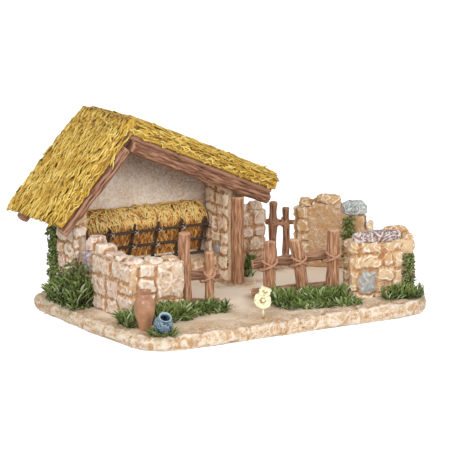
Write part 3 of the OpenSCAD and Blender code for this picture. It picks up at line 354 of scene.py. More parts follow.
# Matte plaster, cream with brown scratches; browner under the roof and in the right corner, partly paint
# and partly painted shade where the roof and the pier shade it; ochre mortar by the stones
patches = add(tree, "TexNoise", {"Vector": points, "Scale": 1 / 20, "Detail": 6.0, "Roughness": 0.65})
patchy = add(tree, "MapRange", {"Value": patches, "From Min": 0.35, "From Max": 0.65})
grit = add(tree, "TexNoise", {"Vector": points, "Scale": 1 / 1.8, "Detail": 5.0, "Roughness": 0.7})
across = add(tree, "SeparateXYZ", {"Vector": points}, out="X")
height = add(tree, "SeparateXYZ", {"Vector": points}, out="Z")
# Painted shade: browner near the right slope's underside and towards the pier's corner, over brown paint
under_roof = add(tree, "Math", {0: across, 1: math.tan(right_pitch), 2: height}, operation="MULTIPLY_ADD")
roof_shade_limits = {"From Min": roof_line - roof_shade_from, "From Max": roof_line - roof_shade_full, "To Max": 0.6}
roof_shade = add(tree, "MapRange", {"Value": under_roof, **roof_shade_limits})
corner_shade = add(tree, "MapRange", {"Value": across, "From Min": -22.0, "From Max": 14.0, "To Max": 0.8})
darker = add(tree, "Math", {0: roof_shade, 1: corner_shade}, operation="MAXIMUM")
within = add(tree, "Math", {0: across, 1: 30.0}, operation="LESS_THAN")
shade = add(tree, "Math", {0: darker, 1: within}, operation="MULTIPLY")
stipple = add(tree, "TexNoise", {"Vector": points, "Scale": 1 / 2.4, "Detail": 2.0, "Roughness": 0.6})
dabbed = add(tree, "MapRange", {"Value": stipple, "From Min": 0.44, "From Max": 0.6, "To Max": 0.24})
scratched = brush_marks(tree, points, 2.6, 0.06, 0.4)
hatched = brush_marks(tree, points, 3.2, 0.07, 0.6)
raised = stored(tree, "relief", 0.1, 0.55)
filled = add(tree, "Mix", {"Factor": raised, "A": "#8F6840", "B": "#CFAE84"}, data_type="RGBA")
ochre = add(tree, "Mix", {"Factor": hatched, "A": filled, "B": "#EDDCC4"}, data_type="RGBA")
colour = "#EACFB2"
for mask, coat in ((patchy, "#FFF2E1"), (shade, "#75472B"), (dabbed, "#94704F"), (scratched, "#8B6A50"),
                   (hatched, "#F3EADF"), (stored(tree, "mortar"), ochre)):
    colour = add(tree, "Mix", {"Factor": mask, "A": colour, "B": coat}, data_type="RGBA")
seal(tree, colour, 0.9, grit, 0.4)

for node, stones in wall_stones.items():
    wall = recast(node, 1.3 * mm)
    facing = surface_of(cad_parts[stones].data)
    bedded = [1.0 if node not in plastered or facing.find_nearest(v.co, beside_stone)[0] is not None else 0.0
              for v in wall.data.vertices]
    store(wall.data, "mortar", bedded)
    lumps = iter(bedded)
    carve(wall, lambda p, n: (next(lumps) * (mortar_rise + 0.5 * mm * noise.noise(p / (4 * mm)))
                              + 0.35 * mm * noise.noise(p / (9 * mm))
                              + 0.15 * mm * noise.noise(p / (2.8 * mm))))
    store_relief(wall, 8, 0.4 * mm)
    dress(wall, plaster, "plaster" if node in plastered else "mortar")

# Facing stones and coping: rubble fitted closely in rough courses, each stone its own chipped lump.
# Cast with the walls, painted cream to tan, washed ochre in the joints and dry-brushed with white.
# The stones of each node are swollen until they meet, and narrow joints are cut back in between them.
pink_creams = ("#D9BFA6", "#E0CAB4", "#D3B698", "#D0AE88", "#DABFAC", "#D5BBA2")
tans = ("#C9A474", "#D2B389", "#C09664", "#CDAC82", "#C6A073")
# The pier's own palette is paler than the other creams: painted light that lifts the shade inside the shelter
palettes = {"pier_stones": ("#E8C9A4", "#EBD3B3", "#DFBC93", "#E6CDB2"), "tall_wall": ("#B9946B",)}
boulders = {"low_side_stones": (Vector((-142, 40, 50)) * mm, "#A5949C"),
            "pier_stones": (Vector((8, 72, 38)) * mm, "#98A3A8"),
            "right_stones": (Vector((84, -70, 27)) * mm, "#999F9D")}
ruin_side = 40 * mm
swell = 2.4 * mm
proud_of_solid = 0.25 * mm
joint_wide = 3.0 * mm
joint_deep = 1.9 * mm
joint_waver = 2.6 * mm
boulder_extra = 2.0 * mm

stone_paint, tree, points = new_finish("dry_brushed_cast_stone")
# Matte: each stone's own cream or tan, ochre-brown in the joints and hollows, white squiggles on its face;
# a grey boulder takes little of the tan and less of the white
own = add(tree, "Attribute", out="Color", attribute_name="own_colour")
patches = add(tree, "TexNoise", {"Vector": points, "Scale": 1 / 9, "Detail": 5.0, "Roughness": 0.6})
grit = add(tree, "TexNoise", {"Vector": points, "Scale": 1 / 1.5, "Detail": 4.0, "Roughness": 0.7})
saturation = add(tree, "SeparateColor", {"Color": own}, out="Green", mode="HSV")
vivid = {"Value": saturation, "From Min": 0.22, "From Max": 0.36}
tan_share = add(tree, "MapRange", {**vivid, "To Min": 0.05, "To Max": 0.55})
white_share = add(tree, "MapRange", {**vivid, "To Min": 0.5, "To Max": 0.85})
stain = add(tree, "MapRange", {"Value": patches, "From Min": 0.5, "From Max": 0.68, "To Max": tan_share})
low = stored(tree, "relief", 0.05, 0.5, interpolation_type="SMOOTHSTEP")
stained = add(tree, "Mix", {"Factor": stain, "A": own, "B": "#BF8B50"}, data_type="RGBA")
washed = add(tree, "Mix", {"Factor": low, "A": "#A5713F", "B": stained}, data_type="RGBA")
broad = brush_marks(tree, points, 8, 0.02)
fine = brush_marks(tree, points, 4, 0.02)
strokes = add(tree, "Math", {0: broad, 1: fine}, operation="MAXIMUM")
bare = {"Value": patches, "From Min": 0.38, "From Max": 0.55, "To Min": 1.0, "To Max": 0.25}
patchy_strokes = add(tree, "Math", {0: strokes, 1: add(tree, "MapRange", bare)}, operation="MULTIPLY")
caught = add(tree, "Math", {0: patchy_strokes, 1: stored(tree, "relief", 0.64, 0.95)}, operation="MAXIMUM")
dusted = add(tree, "Math", {0: caught, 1: white_share}, operation="MULTIPLY")
shoulder = stored(tree, "joint", 0.15, 0.6, most=0.4)
pointed = stored(tree, "joint", 0.55, 0.9, most=0.85)
colour = washed
for mask, coat in ((dusted, "#F6ECDF"), (shoulder, "#CB9F6C"), (pointed, "#86603C")):
    colour = add(tree, "Mix", {"Factor": mask, "A": colour, "B": coat}, data_type="RGBA")
seal(tree, colour, 0.85, grit, 0.35)


def shell_numbers(mesh):
    """For each vertex of a mesh, the number of the separate shell it belongs to."""
    bm = bmesh.new()
    bm.from_mesh(mesh)
    numbers = [-1] * len(bm.verts)
    count = 0
    for start in bm.verts:
        if numbers[start.index] < 0:
            waiting = [start]
            numbers[start.index] = count
            while waiting:
                for edge in waiting.pop().link_edges:
                    for vert in edge.verts:
                        if numbers[vert.index] < 0:
                            numbers[vert.index] = count
                            waiting.append(vert)
            count += 1
    bm.free()
    return numbers


def single_stones(node):
    """The stones of a node one by one: the middle of each and a tree of its surface."""
    copy = merged_copy(node)
    numbers = shell_numbers(copy)
    places = [v.co for v in copy.vertices]
    stones = []
    for shell in range(max(numbers) + 1):
        cloud = [co for co, number in zip(places, numbers) if number == shell]
        faces = [f.vertices[:] for f in copy.polygons if numbers[f.vertices[0]] == shell]
        stones.append((sum(cloud, Vector()) / len(cloud), BVHTree.FromPolygons(places, faces)))
    return stones


def settle(piece, passes):
    """Smooths a piece's points towards their neighbours."""
    bm = smoothed(piece.data, passes)
    bm.to_mesh(piece.data)
    bm.free()


def chips(point, ridges=0.8):
    """The chipped, uneven face of a stone: wandering ridges that high in mm, on soft swellings."""
    bent = point / (8 * mm) + 0.5 * noise.noise_vector(point / (11 * mm))
    ridge = max(0.0, 1 - 6 * abs(noise.noise(bent)))
    swellings = 0.9 * noise.noise(point / (9 * mm)) + 0.4 * noise.noise(point / (2.6 * mm)) - 0.2
    return (ridges * ridge + swellings) * mm


for node in sorted(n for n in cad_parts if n.endswith(("_stones", "_coping"))) + ["tall_wall"]:
    stones = single_stones(node)
    middles = places_tree([middle for middle, surface in stones])
    palette = palettes.get(node, tans if stones[0][0].x > ruin_side else pink_creams)
    colours = [srgb(random.choice(palette)) for stone in stones]
    extra = [0.0] * len(stones)
    if node in boulders:
        boulder = middles.find(boulders[node][0])[1]
        colours[boulder] = srgb(boulders[node][1])
        extra[boulder] = boulder_extra
    fineness = (1.2 if node == "back_wall_stones" else 0.9) * mm
    wall_face = recast(node, fineness)
    carve(wall_face, lambda point, normal: swell)
    skin_over(wall_face, fineness)
    carve(wall_face, lambda point, normal: proud_of_solid - swell)
    settle(wall_face, 2)
    owner = []
    joints = []
    for vert in wall_face.data.vertices:
        wavering = vert.co + noise.noise_vector(vert.co / (10 * mm)) * joint_waver
        near = sorted((stones[number][1].find_nearest(wavering)[3] - extra[number], number)
                      for place, number, apart in middles.find_n(vert.co, 8))
        owner.append(near[0][1])
        between = near[1][0] - near[0][0] if len(near) > 1 else joint_wide
        open_share = min(1.0, max(0.3, 0.8 + 0.8 * noise.noise(vert.co / (9 * mm))))
        joints.append(max(0.0, 1.0 - between / joint_wide) * open_share)
    depths = [random.gauss(0, 0.35) * mm for stone in stones]
    cuts = iter([depths[number] * (1 - cut) - cut * cut * joint_deep for number, cut in zip(owner, joints)])
    ridges = 0.3 if node == "tall_wall" else 0.8
    carve(wall_face, lambda point, normal: chips(point, ridges) + next(cuts))
    store(wall_face.data, "own_colour", [c for number in owner for c in colours[number]], "FLOAT_COLOR")
    store(wall_face.data, "joint", joints)
    store_relief(wall_face, 16, 0.5 * mm)
    dress(wall_face, stone_paint, "plaster" if node == "tall_wall" else "pale_stone")

# Grey capstone on the tall wall and the veined slab on the front right wall.
# Two resin castings painted as weathered grey stone and as a mauve slab with swirling white veins.
for node, name, slot, broader, base, dark, veins in (
        ("grey_capstone", "marbled_grey_stone", "grey_stone", 1.3, "#A3A7A2", "#6E7675", "#E3E4DE"),
        ("right_slab", "veined_mauve_slab", "veined_slab", 1.0, "#92736D", "#684A45", "#EFE5DD")):
    cap = recast(node, 0.8 * mm)
    settle(cap, 14)
    cap_low, cap_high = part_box(node)
    middle = (Vector(cap_low) + Vector(cap_high)) / 2
    for vert in cap.data.vertices:
        out = vert.co - middle
        vert.co = middle + Vector((out.x * broader, out.y * broader, out.z))
    carve(cap, lambda point, normal: chips(point) + 0.6 * mm)
    store_relief(cap, 8, 0.4 * mm)
    finish, tree, points = new_finish(name)
    # Matte: clouded body with fine swirled veins in white, white on its ridges too
    clouds = add(tree, "TexNoise", {"Vector": points, "Scale": 1 / 9, "Detail": 5.0, "Distortion": 1.5})
    cloudy = add(tree, "MapRange", {"Value": clouds, "From Min": 0.35, "From Max": 0.65})
    swirl = brush_marks(tree, points, 8, 0.025)
    high = stored(tree, "relief", 0.55, 0.95, most=0.7)
    colour = dark
    for mask, coat in ((cloudy, base), (swirl, veins), (high, veins)):
        colour = add(tree, "Mix", {"Factor": mask, "A": colour, "B": coat}, data_type="RGBA")
    seal(tree, colour, 0.8, clouds, 0.3)
    dress(cap, finish, slot)

# Timber: split and hewn logs for the barges, posts, ridge pole, batten, rails and hay rack.
# Cast resin with deep grain along each log, painted brown and brushed paler on the ridges and cut ends.
logs = {"front_left_barge": "barge", "front_right_barge": "barge", "front_batten": "barge",
        "rear_left_barge": "barge", "rear_right_barge": "barge", "ridge_pole": "brown", "eave_post": "brown",
        "gate_post": "brown", "short_post": "brown", "fence_post_a": "brown", "fence_post_b": "brown",
        "fence_post_c": "brown", "rear_posts": "barge", "gate_rails": "rail", "fence_upper_rail": "rail",
        "fence_lower_rail": "rail", "rear_rail": "rail", "rack_frame": "rod"}
log_paints = {"barge": ("dark_hewn_barge", "brown_timber", "#3A2015", "#774A32", "#B18668"),
              "brown": ("brown_grained_timber", "brown_timber", "#52301D", "#9C6A49", "#CFA582"),
              "rail": ("weathered_grained_rail", "weathered_rail", "#452A1C", "#875C43", "#BF9474"),
              "rod": ("dark_stained_rod", "dark_rods", "#1A1410", "#30251E", "#5A493D")}
# For a kind of log, or for one log: the depth of its grain, its unevenness and its added thickness, in mm
log_cuts = {"barge": (0.85, 1.5, 0.9), "brown": (0.6, 0.78, 0.2), "rail": (0.6, 0.78, 0.2),
            "rod": (0.2, 0.26, -0.4), "front_batten": (0.85, 0.5, 1.3), "rear_posts": (0.85, 0.9, 0.5)}
log_squares = {"barge": 0.65, "brown": 0.65, "rail": 0.65, "rod": 0.6}
rear_squares = 0.9
grain_long = 17 * mm
grain_wide = 2.1 * mm


def log_axes(mesh, numbers=None):
    """For each shell of a mesh, its middle and three directions: along the log and two across it."""
    places = np.empty(len(mesh.vertices) * 3)
    mesh.vertices.foreach_get("co", places)
    places = places.reshape(-1, 3)
    shells = np.array(numbers or shell_numbers(mesh))
    axes = []
    for shell in range(shells.max() + 1):
        cloud = places[shells == shell]
        middle = cloud.mean(axis=0)
        spread = np.linalg.eigh(np.cov((cloud - middle).T))[1]
        axes.append((Vector(middle), Vector(spread[:, 2]), Vector(spread[:, 1]), Vector(spread[:, 0])))
    return axes


log_finishes = {}
for kind, (name, slot, dark, mid, light) in log_paints.items():
    finish, tree, points = new_finish(name)
    # Matte: dark in the grooves and in thin checks, paler streaks on the ridges, pale at the cut ends
    along_grain = add(tree, "Attribute", out="Vector", attribute_name="grain")
    streaks = add(tree, "TexNoise", {"Vector": along_grain, "Scale": 1.6, "Detail": 5.0, "Roughness": 0.6})
    streaky = add(tree, "MapRange", {"Value": streaks, "From Min": 0.5, "From Max": 0.64, "To Max": 0.6})
    thin = {"Value": streaks, "From Min": 0.36, "From Max": 0.45, "To Min": 0.65, "To Max": 0.0}
    checks = add(tree, "MapRange", thin)
    low = stored(tree, "relief", 0.15, 0.55)
    high = stored(tree, "relief", 0.58, 0.95, most=0.8)
    cut_ends = stored(tree, "cut_end", most=0.6)
    colour = dark
    for mask, coat in ((low, mid), (streaky, light), (checks, dark), (high, light), (cut_ends, light)):
        colour = add(tree, "Mix", {"Factor": mask, "A": colour, "B": coat}, data_type="RGBA")
    seal(tree, colour, 0.75, streaks, 0.5)
    log_finishes[kind] = (finish, slot)

log_skins = {}
for node, kind in logs.items():
    log = recast(node, (rear_squares if node.startswith("rear") else log_squares[kind]) * mm)
    numbers = shell_numbers(log.data)
    axes = log_axes(log.data, numbers)
    grain = []
    ends = []
    for vert, shell in zip(log.data.vertices, numbers):
        middle, *directions = axes[shell]
        along, broad, narrow = [(vert.co - middle).dot(direction) for direction in directions]
        grain.append(Vector((along / grain_long, broad / grain_wide, narrow / grain_wide)))
        ends.append(share(abs(vert.normal.dot(directions[0])) * 4 - 2.6))
    depth, knots, swollen = log_cuts.get(node, log_cuts[kind])
    lines = iter(list(zip(grain, ends)))

    def grain_height(point, normal):
        """Grooves along the log, softer on its cut ends, over a slow unevenness."""
        line, end = next(lines)
        groove = noise.noise(line) + 0.5 * noise.noise(line * 2.3)
        return (depth * groove * (1 - 0.7 * end) + knots * noise.noise(point / (12 * mm)) + swollen) * mm

    carve(log, grain_height)
    store(log.data, "grain", [c for line in grain for c in line], "FLOAT_VECTOR")
    store(log.data, "cut_end", ends)
    store_relief(log, 10, 0.35 * mm)
    dress(log, *log_finishes[kind])
    log_skins[node] = log

# Thatch: two slopes of golden straw, combed down from the ridge in overlapping courses.
# Cast resin in the original, painted gold over a brown wash; here a grooved bed carries the stalks,
# its dark brown both the wash and painted shade in the gaps between them.


def stalk(sway, arch, waves):
    """One wavy, tapering stalk from x = 0 to 1 and one unit thick, as a template for a few thousand."""
    bm = bmesh.new()
    lay_down = Matrix.Rotation(math.pi / 2, 4, "Y") @ Matrix.Translation((0, 0, 0.5))
    bmesh.ops.create_cone(bm, cap_ends=True, segments=5, radius1=1, radius2=1, depth=1, matrix=lay_down)
    sides = [e for e in bm.edges if abs(e.verts[0].co.x - e.verts[1].co.x) > 0.5]
    bmesh.ops.subdivide_edges(bm, edges=sides, cuts=6)
    crests = [0.5 + 0.5 * vert.co.z for vert in bm.verts]
    for vert in bm.verts:
        t = vert.co.x
        thick = 0.45 + 0.55 * math.sin(math.pi * (0.15 + 0.75 * t)) - 0.3 * t * t
        vert.co.y = vert.co.y * thick + sway * math.sin(math.pi * waves * t)
        vert.co.z = vert.co.z * thick + arch * math.sin(math.pi * t)
    mesh = as_mesh(bm, "stalk")
    store(mesh, "reach", [v.co.x for v in mesh.vertices])
    store(mesh, "crest", crests)
    mesh.attributes.new("tone", "FLOAT", "POINT")
    return mesh


def laid(place, along, up, size):
    """The matrix that lays a template at a place, along one direction, with its top towards another."""
    x = along.normalized()
    y = up.cross(x).normalized()
    z = x.cross(y)
    return Matrix.Translation(place) @ Matrix((x, y, z)).transposed().to_4x4() @ Matrix.Diagonal((*size, 1.0))


def join_copies(name, templates, laid_out):
    """One piece from a random template at each matrix, each copy with its own tone."""
    bm = bmesh.new()
    for matrix, tone in laid_out:
        one = random.choice(templates).copy()
        one.transform(matrix)
        one.attributes["tone"].data.foreach_set("value", [tone] * len(one.vertices))
        bm.from_mesh(one)
        bpy.data.meshes.remove(one)
    piece = new_piece(name, as_mesh(bm, name))
    piece.data.shade_smooth()
    return piece


straw_paints = {}
# The hay's low tone is a bright orange: the hay's own ochre, and painted light that lifts the shade behind
# the bars
for name, wash, dark, light, bright in (("gilded_straw_resin", "#4F350F", "#B4871F", "#E0BA42", "#FAECA4"),
                                        ("ochre_hay_resin", "#663F15", "#F6BC76", "#DFB84A", "#FBECB6")):
    straw_paints[name], tree, points = new_finish(name)
    # Satin paint: each stalk its own gold, brown wash at its root and sides, a pale brushed crest
    fibres = add(tree, "TexNoise", {"Vector": points, "Scale": 1 / 1.5, "Detail": 3.0})
    colour = add(tree, "Mix", {"Factor": stored(tree, "tone"), "A": dark, "B": light}, data_type="RGBA")
    for mask in (stored(tree, "crest", 0.22, 0.72), stored(tree, "reach", 0.0, 0.3, least=0.35)):
        colour = add(tree, "Mix", {"Factor": mask, "A": wash, "B": colour}, data_type="RGBA")
    top = stored(tree, "crest", 0.75, 1.0)
    strong = stored(tree, "tone", 0.3, 1.0, most=0.85)
    brush = add(tree, "Math", {0: top, 1: strong}, operation="MULTIPLY")
    colour = add(tree, "Mix", {"Factor": brush, "A": colour, "B": bright}, data_type="RGBA")
    seal(tree, colour, 0.6, fibres, 0.25)

# The hay bed is painted pale orange: partly its own ochre and partly painted light for the shade behind the
# bars
bed_paints = {}
# The thatch bed's dark brown is its wash and also painted shade in the gaps between the stalks
for name, deep, body, crest in (("brown_wash_and_shade_straw_bed", "#452F0F", "#93691F", "#CFA53A"),
                                ("ochre_hay_bed", "#523112", "#B87A38", "#E8AE5E")):
    bed_paints[name], tree, points = new_finish(name)
    # Matte: golden brown with dark grooves, seen between the stalks
    fibres = add(tree, "TexNoise", {"Vector": points, "Scale": 1 / 1.8, "Detail": 4.0})
    low = stored(tree, "relief", 0.2, 0.6)
    high = stored(tree, "relief", 0.55, 0.9, most=0.8)
    colour = deep
    for mask, coat in ((low, body), (high, crest)):
        colour = add(tree, "Mix", {"Factor": mask, "A": colour, "B": coat}, data_type="RGBA")
    seal(tree, colour, 0.7, fibres, 0.4)

straws = [stalk(*bend) for bend in ((0.9, 0.25, 2.0), (-0.9, 0.25, 2.0), (1.1, 0.3, 2.5), (-1.1, 0.3, 2.5),
                                    (0.6, 0.35, 1.0), (-0.7, 0.35, 1.5))]
course = 5.6 * mm
stalk_gap = 2.4 * mm
bridged = 5 * mm
eave_bare = 5 * mm
probe = 20
edge_share = 9
for side, pitch, hand in (("left", left_pitch, -1), ("right", right_pitch, 1)):
    node = side + "_thatch"
    down = Vector((hand * math.cos(pitch), 0, -math.sin(pitch)))
    out = Vector((hand * math.sin(pitch), 0, math.cos(pitch)))
    bed = recast(node, 1.3 * mm)

    def straw_height(point, normal):
        """Grooves that run down the slope, on its top and on its gable edges."""
        line = Vector((point.dot(down) / (15 * mm), point.y / (1.7 * mm), point.dot(out) / (1.7 * mm)))
        return (0.6 * noise.noise(line) + 0.4 * noise.noise(line * 1.9)) * mm

    carve(bed, straw_height)
    store_relief(bed, 8, 0.4 * mm)
    dress(bed, bed_paints["brown_wash_and_shade_straw_bed"], "thatch")
    surface = surface_of(bed.data)
    low_corner, high_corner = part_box(node)
    length = (high_corner[0] - low_corner[0]) / math.cos(pitch)
    ridge = Vector((high_corner[0] if hand < 0 else low_corner[0], 0, high_corner[2]))
    stalks = []
    for row in range(int(length / course) + 2):
        for column in range(int((high_corner[1] - low_corner[1]) / stalk_gap) + 1):
            step = (row + random.uniform(-0.8, 0.5)) * course
            y = low_corner[1] + (column + random.uniform(-0.4, 0.4)) * stalk_gap
            above = ridge + Vector((0, y, 0)) + down * step + out * probe * mm
            starts = [above + down * shift for shift in (0, -bridged, bridged)]
            hits = [surface.ray_cast(start, -out, 2 * probe * mm)[0] for start in starts]
            if hits[0] is None or step > length - eave_bare:
                continue
            found = [(hit - above).dot(out) for hit in hits if hit is not None]
            root = above + out * (sum(found) / len(found) + random.uniform(0.0, 0.6) * mm)
            swirl = 0.45 * noise.noise(root / (15 * mm)) + random.gauss(0, 0.12)
            heading = Matrix.Rotation(swirl, 3, out) @ down - out * random.uniform(0.0, 0.07)
            reach = min(random.uniform(10, 14) * mm, max(5 * mm, length + 1.5 * mm - step))
            size = (reach, random.uniform(1.0, 1.35) * mm, random.uniform(0.95, 1.25) * mm)
            tone = share(0.5 + 0.3 * noise.noise(root / (12 * mm)) + random.gauss(0, 0.25))
            stalks.append((laid(root, heading, out, size), tone))
    edges = [v for v in bed.data.vertices if abs(v.normal.y) > 0.6 and v.normal.dot(out) > -0.3
             and (v.co - ridge).dot(down) < length - 8 * mm]
    for vert in random.sample(edges, len(edges) // edge_share):
        heading = Matrix.Rotation(random.gauss(0, 0.2), 3, vert.normal) @ down
        size = (random.uniform(7, 11) * mm, random.uniform(0.9, 1.2) * mm, random.uniform(0.8, 1.0) * mm)
        stalks.append((laid(vert.co - down * 3 * mm, heading, vert.normal, size), random.uniform(0.2, 0.8)))
    thatch = join_copies(side + "_thatch_stalks", straws, stalks)
    dress(thatch, straw_paints["gilded_straw_resin"], "thatch")

# Hay in the rack: a bundle of loose straw held between the back wall and the bars.
# A grooved bed with separate stalks, ruffled along its top and combed upright behind the bars.


def hay_height(point, normal):
    """Grooves that run up and down the bundle."""
    line = Vector((point.x / (1.6 * mm), point.y / (1.6 * mm), point.z / (9 * mm)))
    return 0.7 * noise.noise(line) * mm


bundle = recast("hay", 1.0 * mm)
carve(bundle, hay_height)
store_relief(bundle, 8, 0.4 * mm)
dress(bundle, bed_paints["ochre_hay_bed"], "hay")
hay_stalks = 1300
ruffled_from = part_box("hay")[1][2] - 13 * mm
picked = [v for v in bundle.data.vertices if v.normal.y < 0.1 and v.normal.z > -0.4]
wisps = []
for vert in random.sample(picked, min(len(picked), hay_stalks)):
    ruffled = vert.co.z > ruffled_from
    clump = noise.noise(vert.co / (7 * mm))
    lean = 1.3 * clump + random.gauss(0, 0.35) if ruffled else 0.2 * clump + random.gauss(0, 0.08)
    fall = Vector((math.sin(lean), 0, -math.cos(lean)))
    heading = fall - vert.normal * fall.dot(vert.normal)
    if heading.length < 0.2:
        heading = Vector((math.cos(lean), -0.4, 0.2))
    broad = random.uniform(0.8, 1.15) if ruffled else random.uniform(0.6, 0.85)
    size = (random.uniform(5, 9) * mm, broad * mm, broad * mm)
    lifted = Vector((0, 0, 0 if ruffled else 3 * mm))
    # The upright wisps behind the bars take the bright orange low tone, painted light as well as the hay's
    # ochre
    tone = share((0.8 if ruffled else 0.4) + random.gauss(0, 0.25))
    wisps.append((laid(vert.co + lifted, heading, vert.normal, size), tone))
hay = join_copies("hay_wisps", straws, wisps)
dress(hay, straw_paints["ochre_hay_resin"], "hay")

# Wire ties of the rack: two short crossed wires bind each bar to the rail behind it.
# Soft silver wire, dull; each is bent over the bar in a cross.
silver, tree, points = new_finish("dull_silver_wire")
# Drawn metal: bright grey, a little uneven along its length
dull = add(tree, "TexNoise", {"Vector": points, "Scale": 1 / 1.2, "Detail": 3.0})
colour = add(tree, "Mix", {"Factor": dull, "A": "#A9A69C", "B": "#E4E0D6"}, data_type="RGBA")
seal(tree, colour, 0.45, dull, 0.1, metallic=0.6)
wire_size = (5.9 * mm, 0.45 * mm, 0.5 * mm)
front = Vector((0, -0.93, -0.36))
tie_wires = []
for middle in [axes[0] for axes in log_axes(merged_copy("rack_ties"))]:
    for slant in (-1, 1):
        across = Vector((slant, -0.34, 0.94))
        start = middle - across * 2.1 * mm + front * 0.6 * mm
        tie_wires.append((laid(start, across, front, wire_size), 0.5))
ties = join_copies("rack_tie_wires", [stalk(0.0, 2.6, 1.0)], tie_wires)
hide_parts("rack_ties")
dress(ties, silver, "silver_wire")

# Rope lashings: two crossing turns round each post and the rail behind it.
# Three-strand twine in the casting, painted reddish tan; it lies on the path of its solid.
# Each lashing has its rail, half the rail's height, and its posts with the radius of each, in mm.
lashings = {"gate_lashings": ("gate_rails", 4.8, (("short_post", 4.4),)),
            "fence_lashings": ("fence_upper_rail", 4.8,
                               (("fence_post_a", 6.0), ("fence_post_b", 6.0), ("fence_post_c", 6.0))),
            "rear_lashings": ("rear_rail", 2.6, (("rear_posts", 3.9), ("rear_posts", 3.2)))}
rope_r = 0.9 * mm
fit = 0.2 * mm
slack = 1.3 * mm
rail_flat = 0.62
twist_pitch = 5 * mm

twine, tree, points = new_finish("reddish_twine")
# Matte fibre: tan mottled with reddish brown
fibres = add(tree, "TexNoise", {"Vector": points, "Scale": 1 / 0.9, "Detail": 4.0})
colour = add(tree, "Mix", {"Factor": fibres, "A": "#8F5C3E", "B": "#E2B391"}, data_type="RGBA")
seal(tree, colour, 0.85, fibres, 0.3)


def turns_path(post_r, rail_h, lean, climb):
    """The rope's path round a post and its rail, from the middle of the crossing, in metres."""
    around = post_r + rope_r + fit
    over = 2 * rope_r + 0.5 * mm
    thick = rail_h * rail_flat
    back = post_r + fit + thick
    deep = thick + rope_r + fit
    high = rail_h + rope_r + fit
    side = 0.8 * high
    path = []
    for s in np.radians(np.arange(-90, 91, 11.25)):
        path.append((around * math.sin(s), -around * math.cos(s), -side * s * 2 / math.pi))
    for s in np.radians(np.arange(-90, 91, 18)):
        path.append((around, back + deep * math.cos(s), high * math.sin(s)))
    for s in np.radians(np.arange(90, -91, -11.25)):
        r = around + over * math.cos(s)
        path.append((r * math.sin(s), -r * math.cos(s), side * s * 2 / math.pi))
    for s in np.radians(np.arange(-90, 61, 18)):
        path.append((-around, back + deep * math.cos(s), high * math.sin(s)))
    return [Vector((x - lean * z, y, z + climb * x)) for x, y, z in path]


def twisted(path):
    """Three strands that wind round a path, as lists of points."""
    strands = ([], [], [])
    across = Vector((0.3, 0.2, 1.0))
    gone = 0.0
    for index, point in enumerate(path):
        ahead = (path[min(index + 1, len(path) - 1)] - path[max(index - 1, 0)]).normalized()
        across = (across - ahead * across.dot(ahead)).normalized()
        other = ahead.cross(across)
        gone += (point - path[index - 1]).length if index else 0.0
        for number, strand in enumerate(strands):
            angle = math.tau * (gone / twist_pitch + number / 3)
            strand.append(point + (across * math.cos(angle) + other * math.sin(angle)) * rope_r * 0.58)
    return strands


def evenly(path, step):
    """Points a step apart along a path, on straight lines between its own."""
    spaced = [path[0]]
    for start, end in zip(path, path[1:]):
        parts = max(1, round((end - start).length / step))
        spaced += [start.lerp(end, (part + 1) / parts) for part in range(parts)]
    return spaced


def post_middle(mesh, height, middle):
    """The middle of the part of a post near a height."""
    level = [v.co for v in mesh.vertices if abs(v.co.z - height) < 1.5 * mm]
    near = [place for place in level if (place - middle).xy.length < 14 * mm]
    return sum(near, Vector()) / len(near)


def lashing(post, stand, rail_axis, rail_middle, post_r, rail_h):
    """The strands of one lashing, where the post that stands there crosses that rail."""
    ahead = 1 if rail_axis.x > 0 else -1
    along = Vector((rail_axis.x, rail_axis.y, 0)).normalized() * ahead
    climb = rail_axis.z / rail_axis.xy.length * ahead
    height = rail_middle.z + climb * (stand - rail_middle).dot(along)
    centre = post_middle(post, height, stand)
    above = post_middle(post, height + 6 * mm, stand)
    below = post_middle(post, height - 6 * mm, stand)
    lean = -(above - below).dot(along) / (12 * mm)
    back = Vector((-along.y, along.x, 0))
    height = rail_middle.z + climb * (centre - rail_middle).dot(along)
    placed = [Vector((centre.x, centre.y, height)) + along * p.x + back * p.y + Vector((0, 0, p.z))
              for p in turns_path(post_r, rail_h, lean if abs(lean) > 0.05 else 0.0, climb)]
    surface = surface_of(post)
    tight = []
    for point in evenly(placed, 1.0 * mm):
        touch, normal, face, apart = surface.find_nearest(point)
        drawn_in = min(slack, max(0.0, apart - 0.8 * rope_r)) if (point - centre).dot(back) < post_r else 0.0
        tight.append(point + (touch - point).normalized() * drawn_in)
    return twisted(tight)


for node, (rail, rail_h, posts) in lashings.items():
    curve = bpy.data.curves.new(node + "_twine", "CURVE")
    curve.dimensions = "3D"
    curve.bevel_depth = rope_r * 0.65
    curve.bevel_resolution = 1
    curve.use_fill_caps = True
    rail_middle, rail_axis = max(log_axes(log_skins[rail].data), key=lambda axes: axes[0].z)[:2]
    for order, (post, post_r) in enumerate(posts):
        wood = log_skins[post].data
        stands = sorted((axes[0] for axes in log_axes(wood)), key=lambda place: place.x)
        stand = stands[order if len(stands) > 1 else 0]
        for strand in lashing(wood, stand, rail_axis, rail_middle, post_r * mm, rail_h * mm):
            spline = curve.splines.new("POLY")
            spline.points.add(len(strand) - 1)
            spline.points.foreach_set("co", [c for point in strand for c in (*point, 1.0)])
    drawn = bpy.data.objects.new(node + "_drawn", curve)
    bpy.context.collection.objects.link(drawn)
    settled = drawn.evaluated_get(bpy.context.evaluated_depsgraph_get())
    rope = new_piece(node + "_twine", bpy.data.meshes.new_from_object(settled))
    bpy.data.objects.remove(drawn)
    rope.data.shade_smooth()
    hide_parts(node)
    dress(rope, twine, "rope")

# Jar and pot by the gate: a tall unglazed jar and a small blue jug lying back on the ground.
# Thrown shapes with a real hollow, cast in resin; the jar is terracotta, the jug has a mottled glaze.


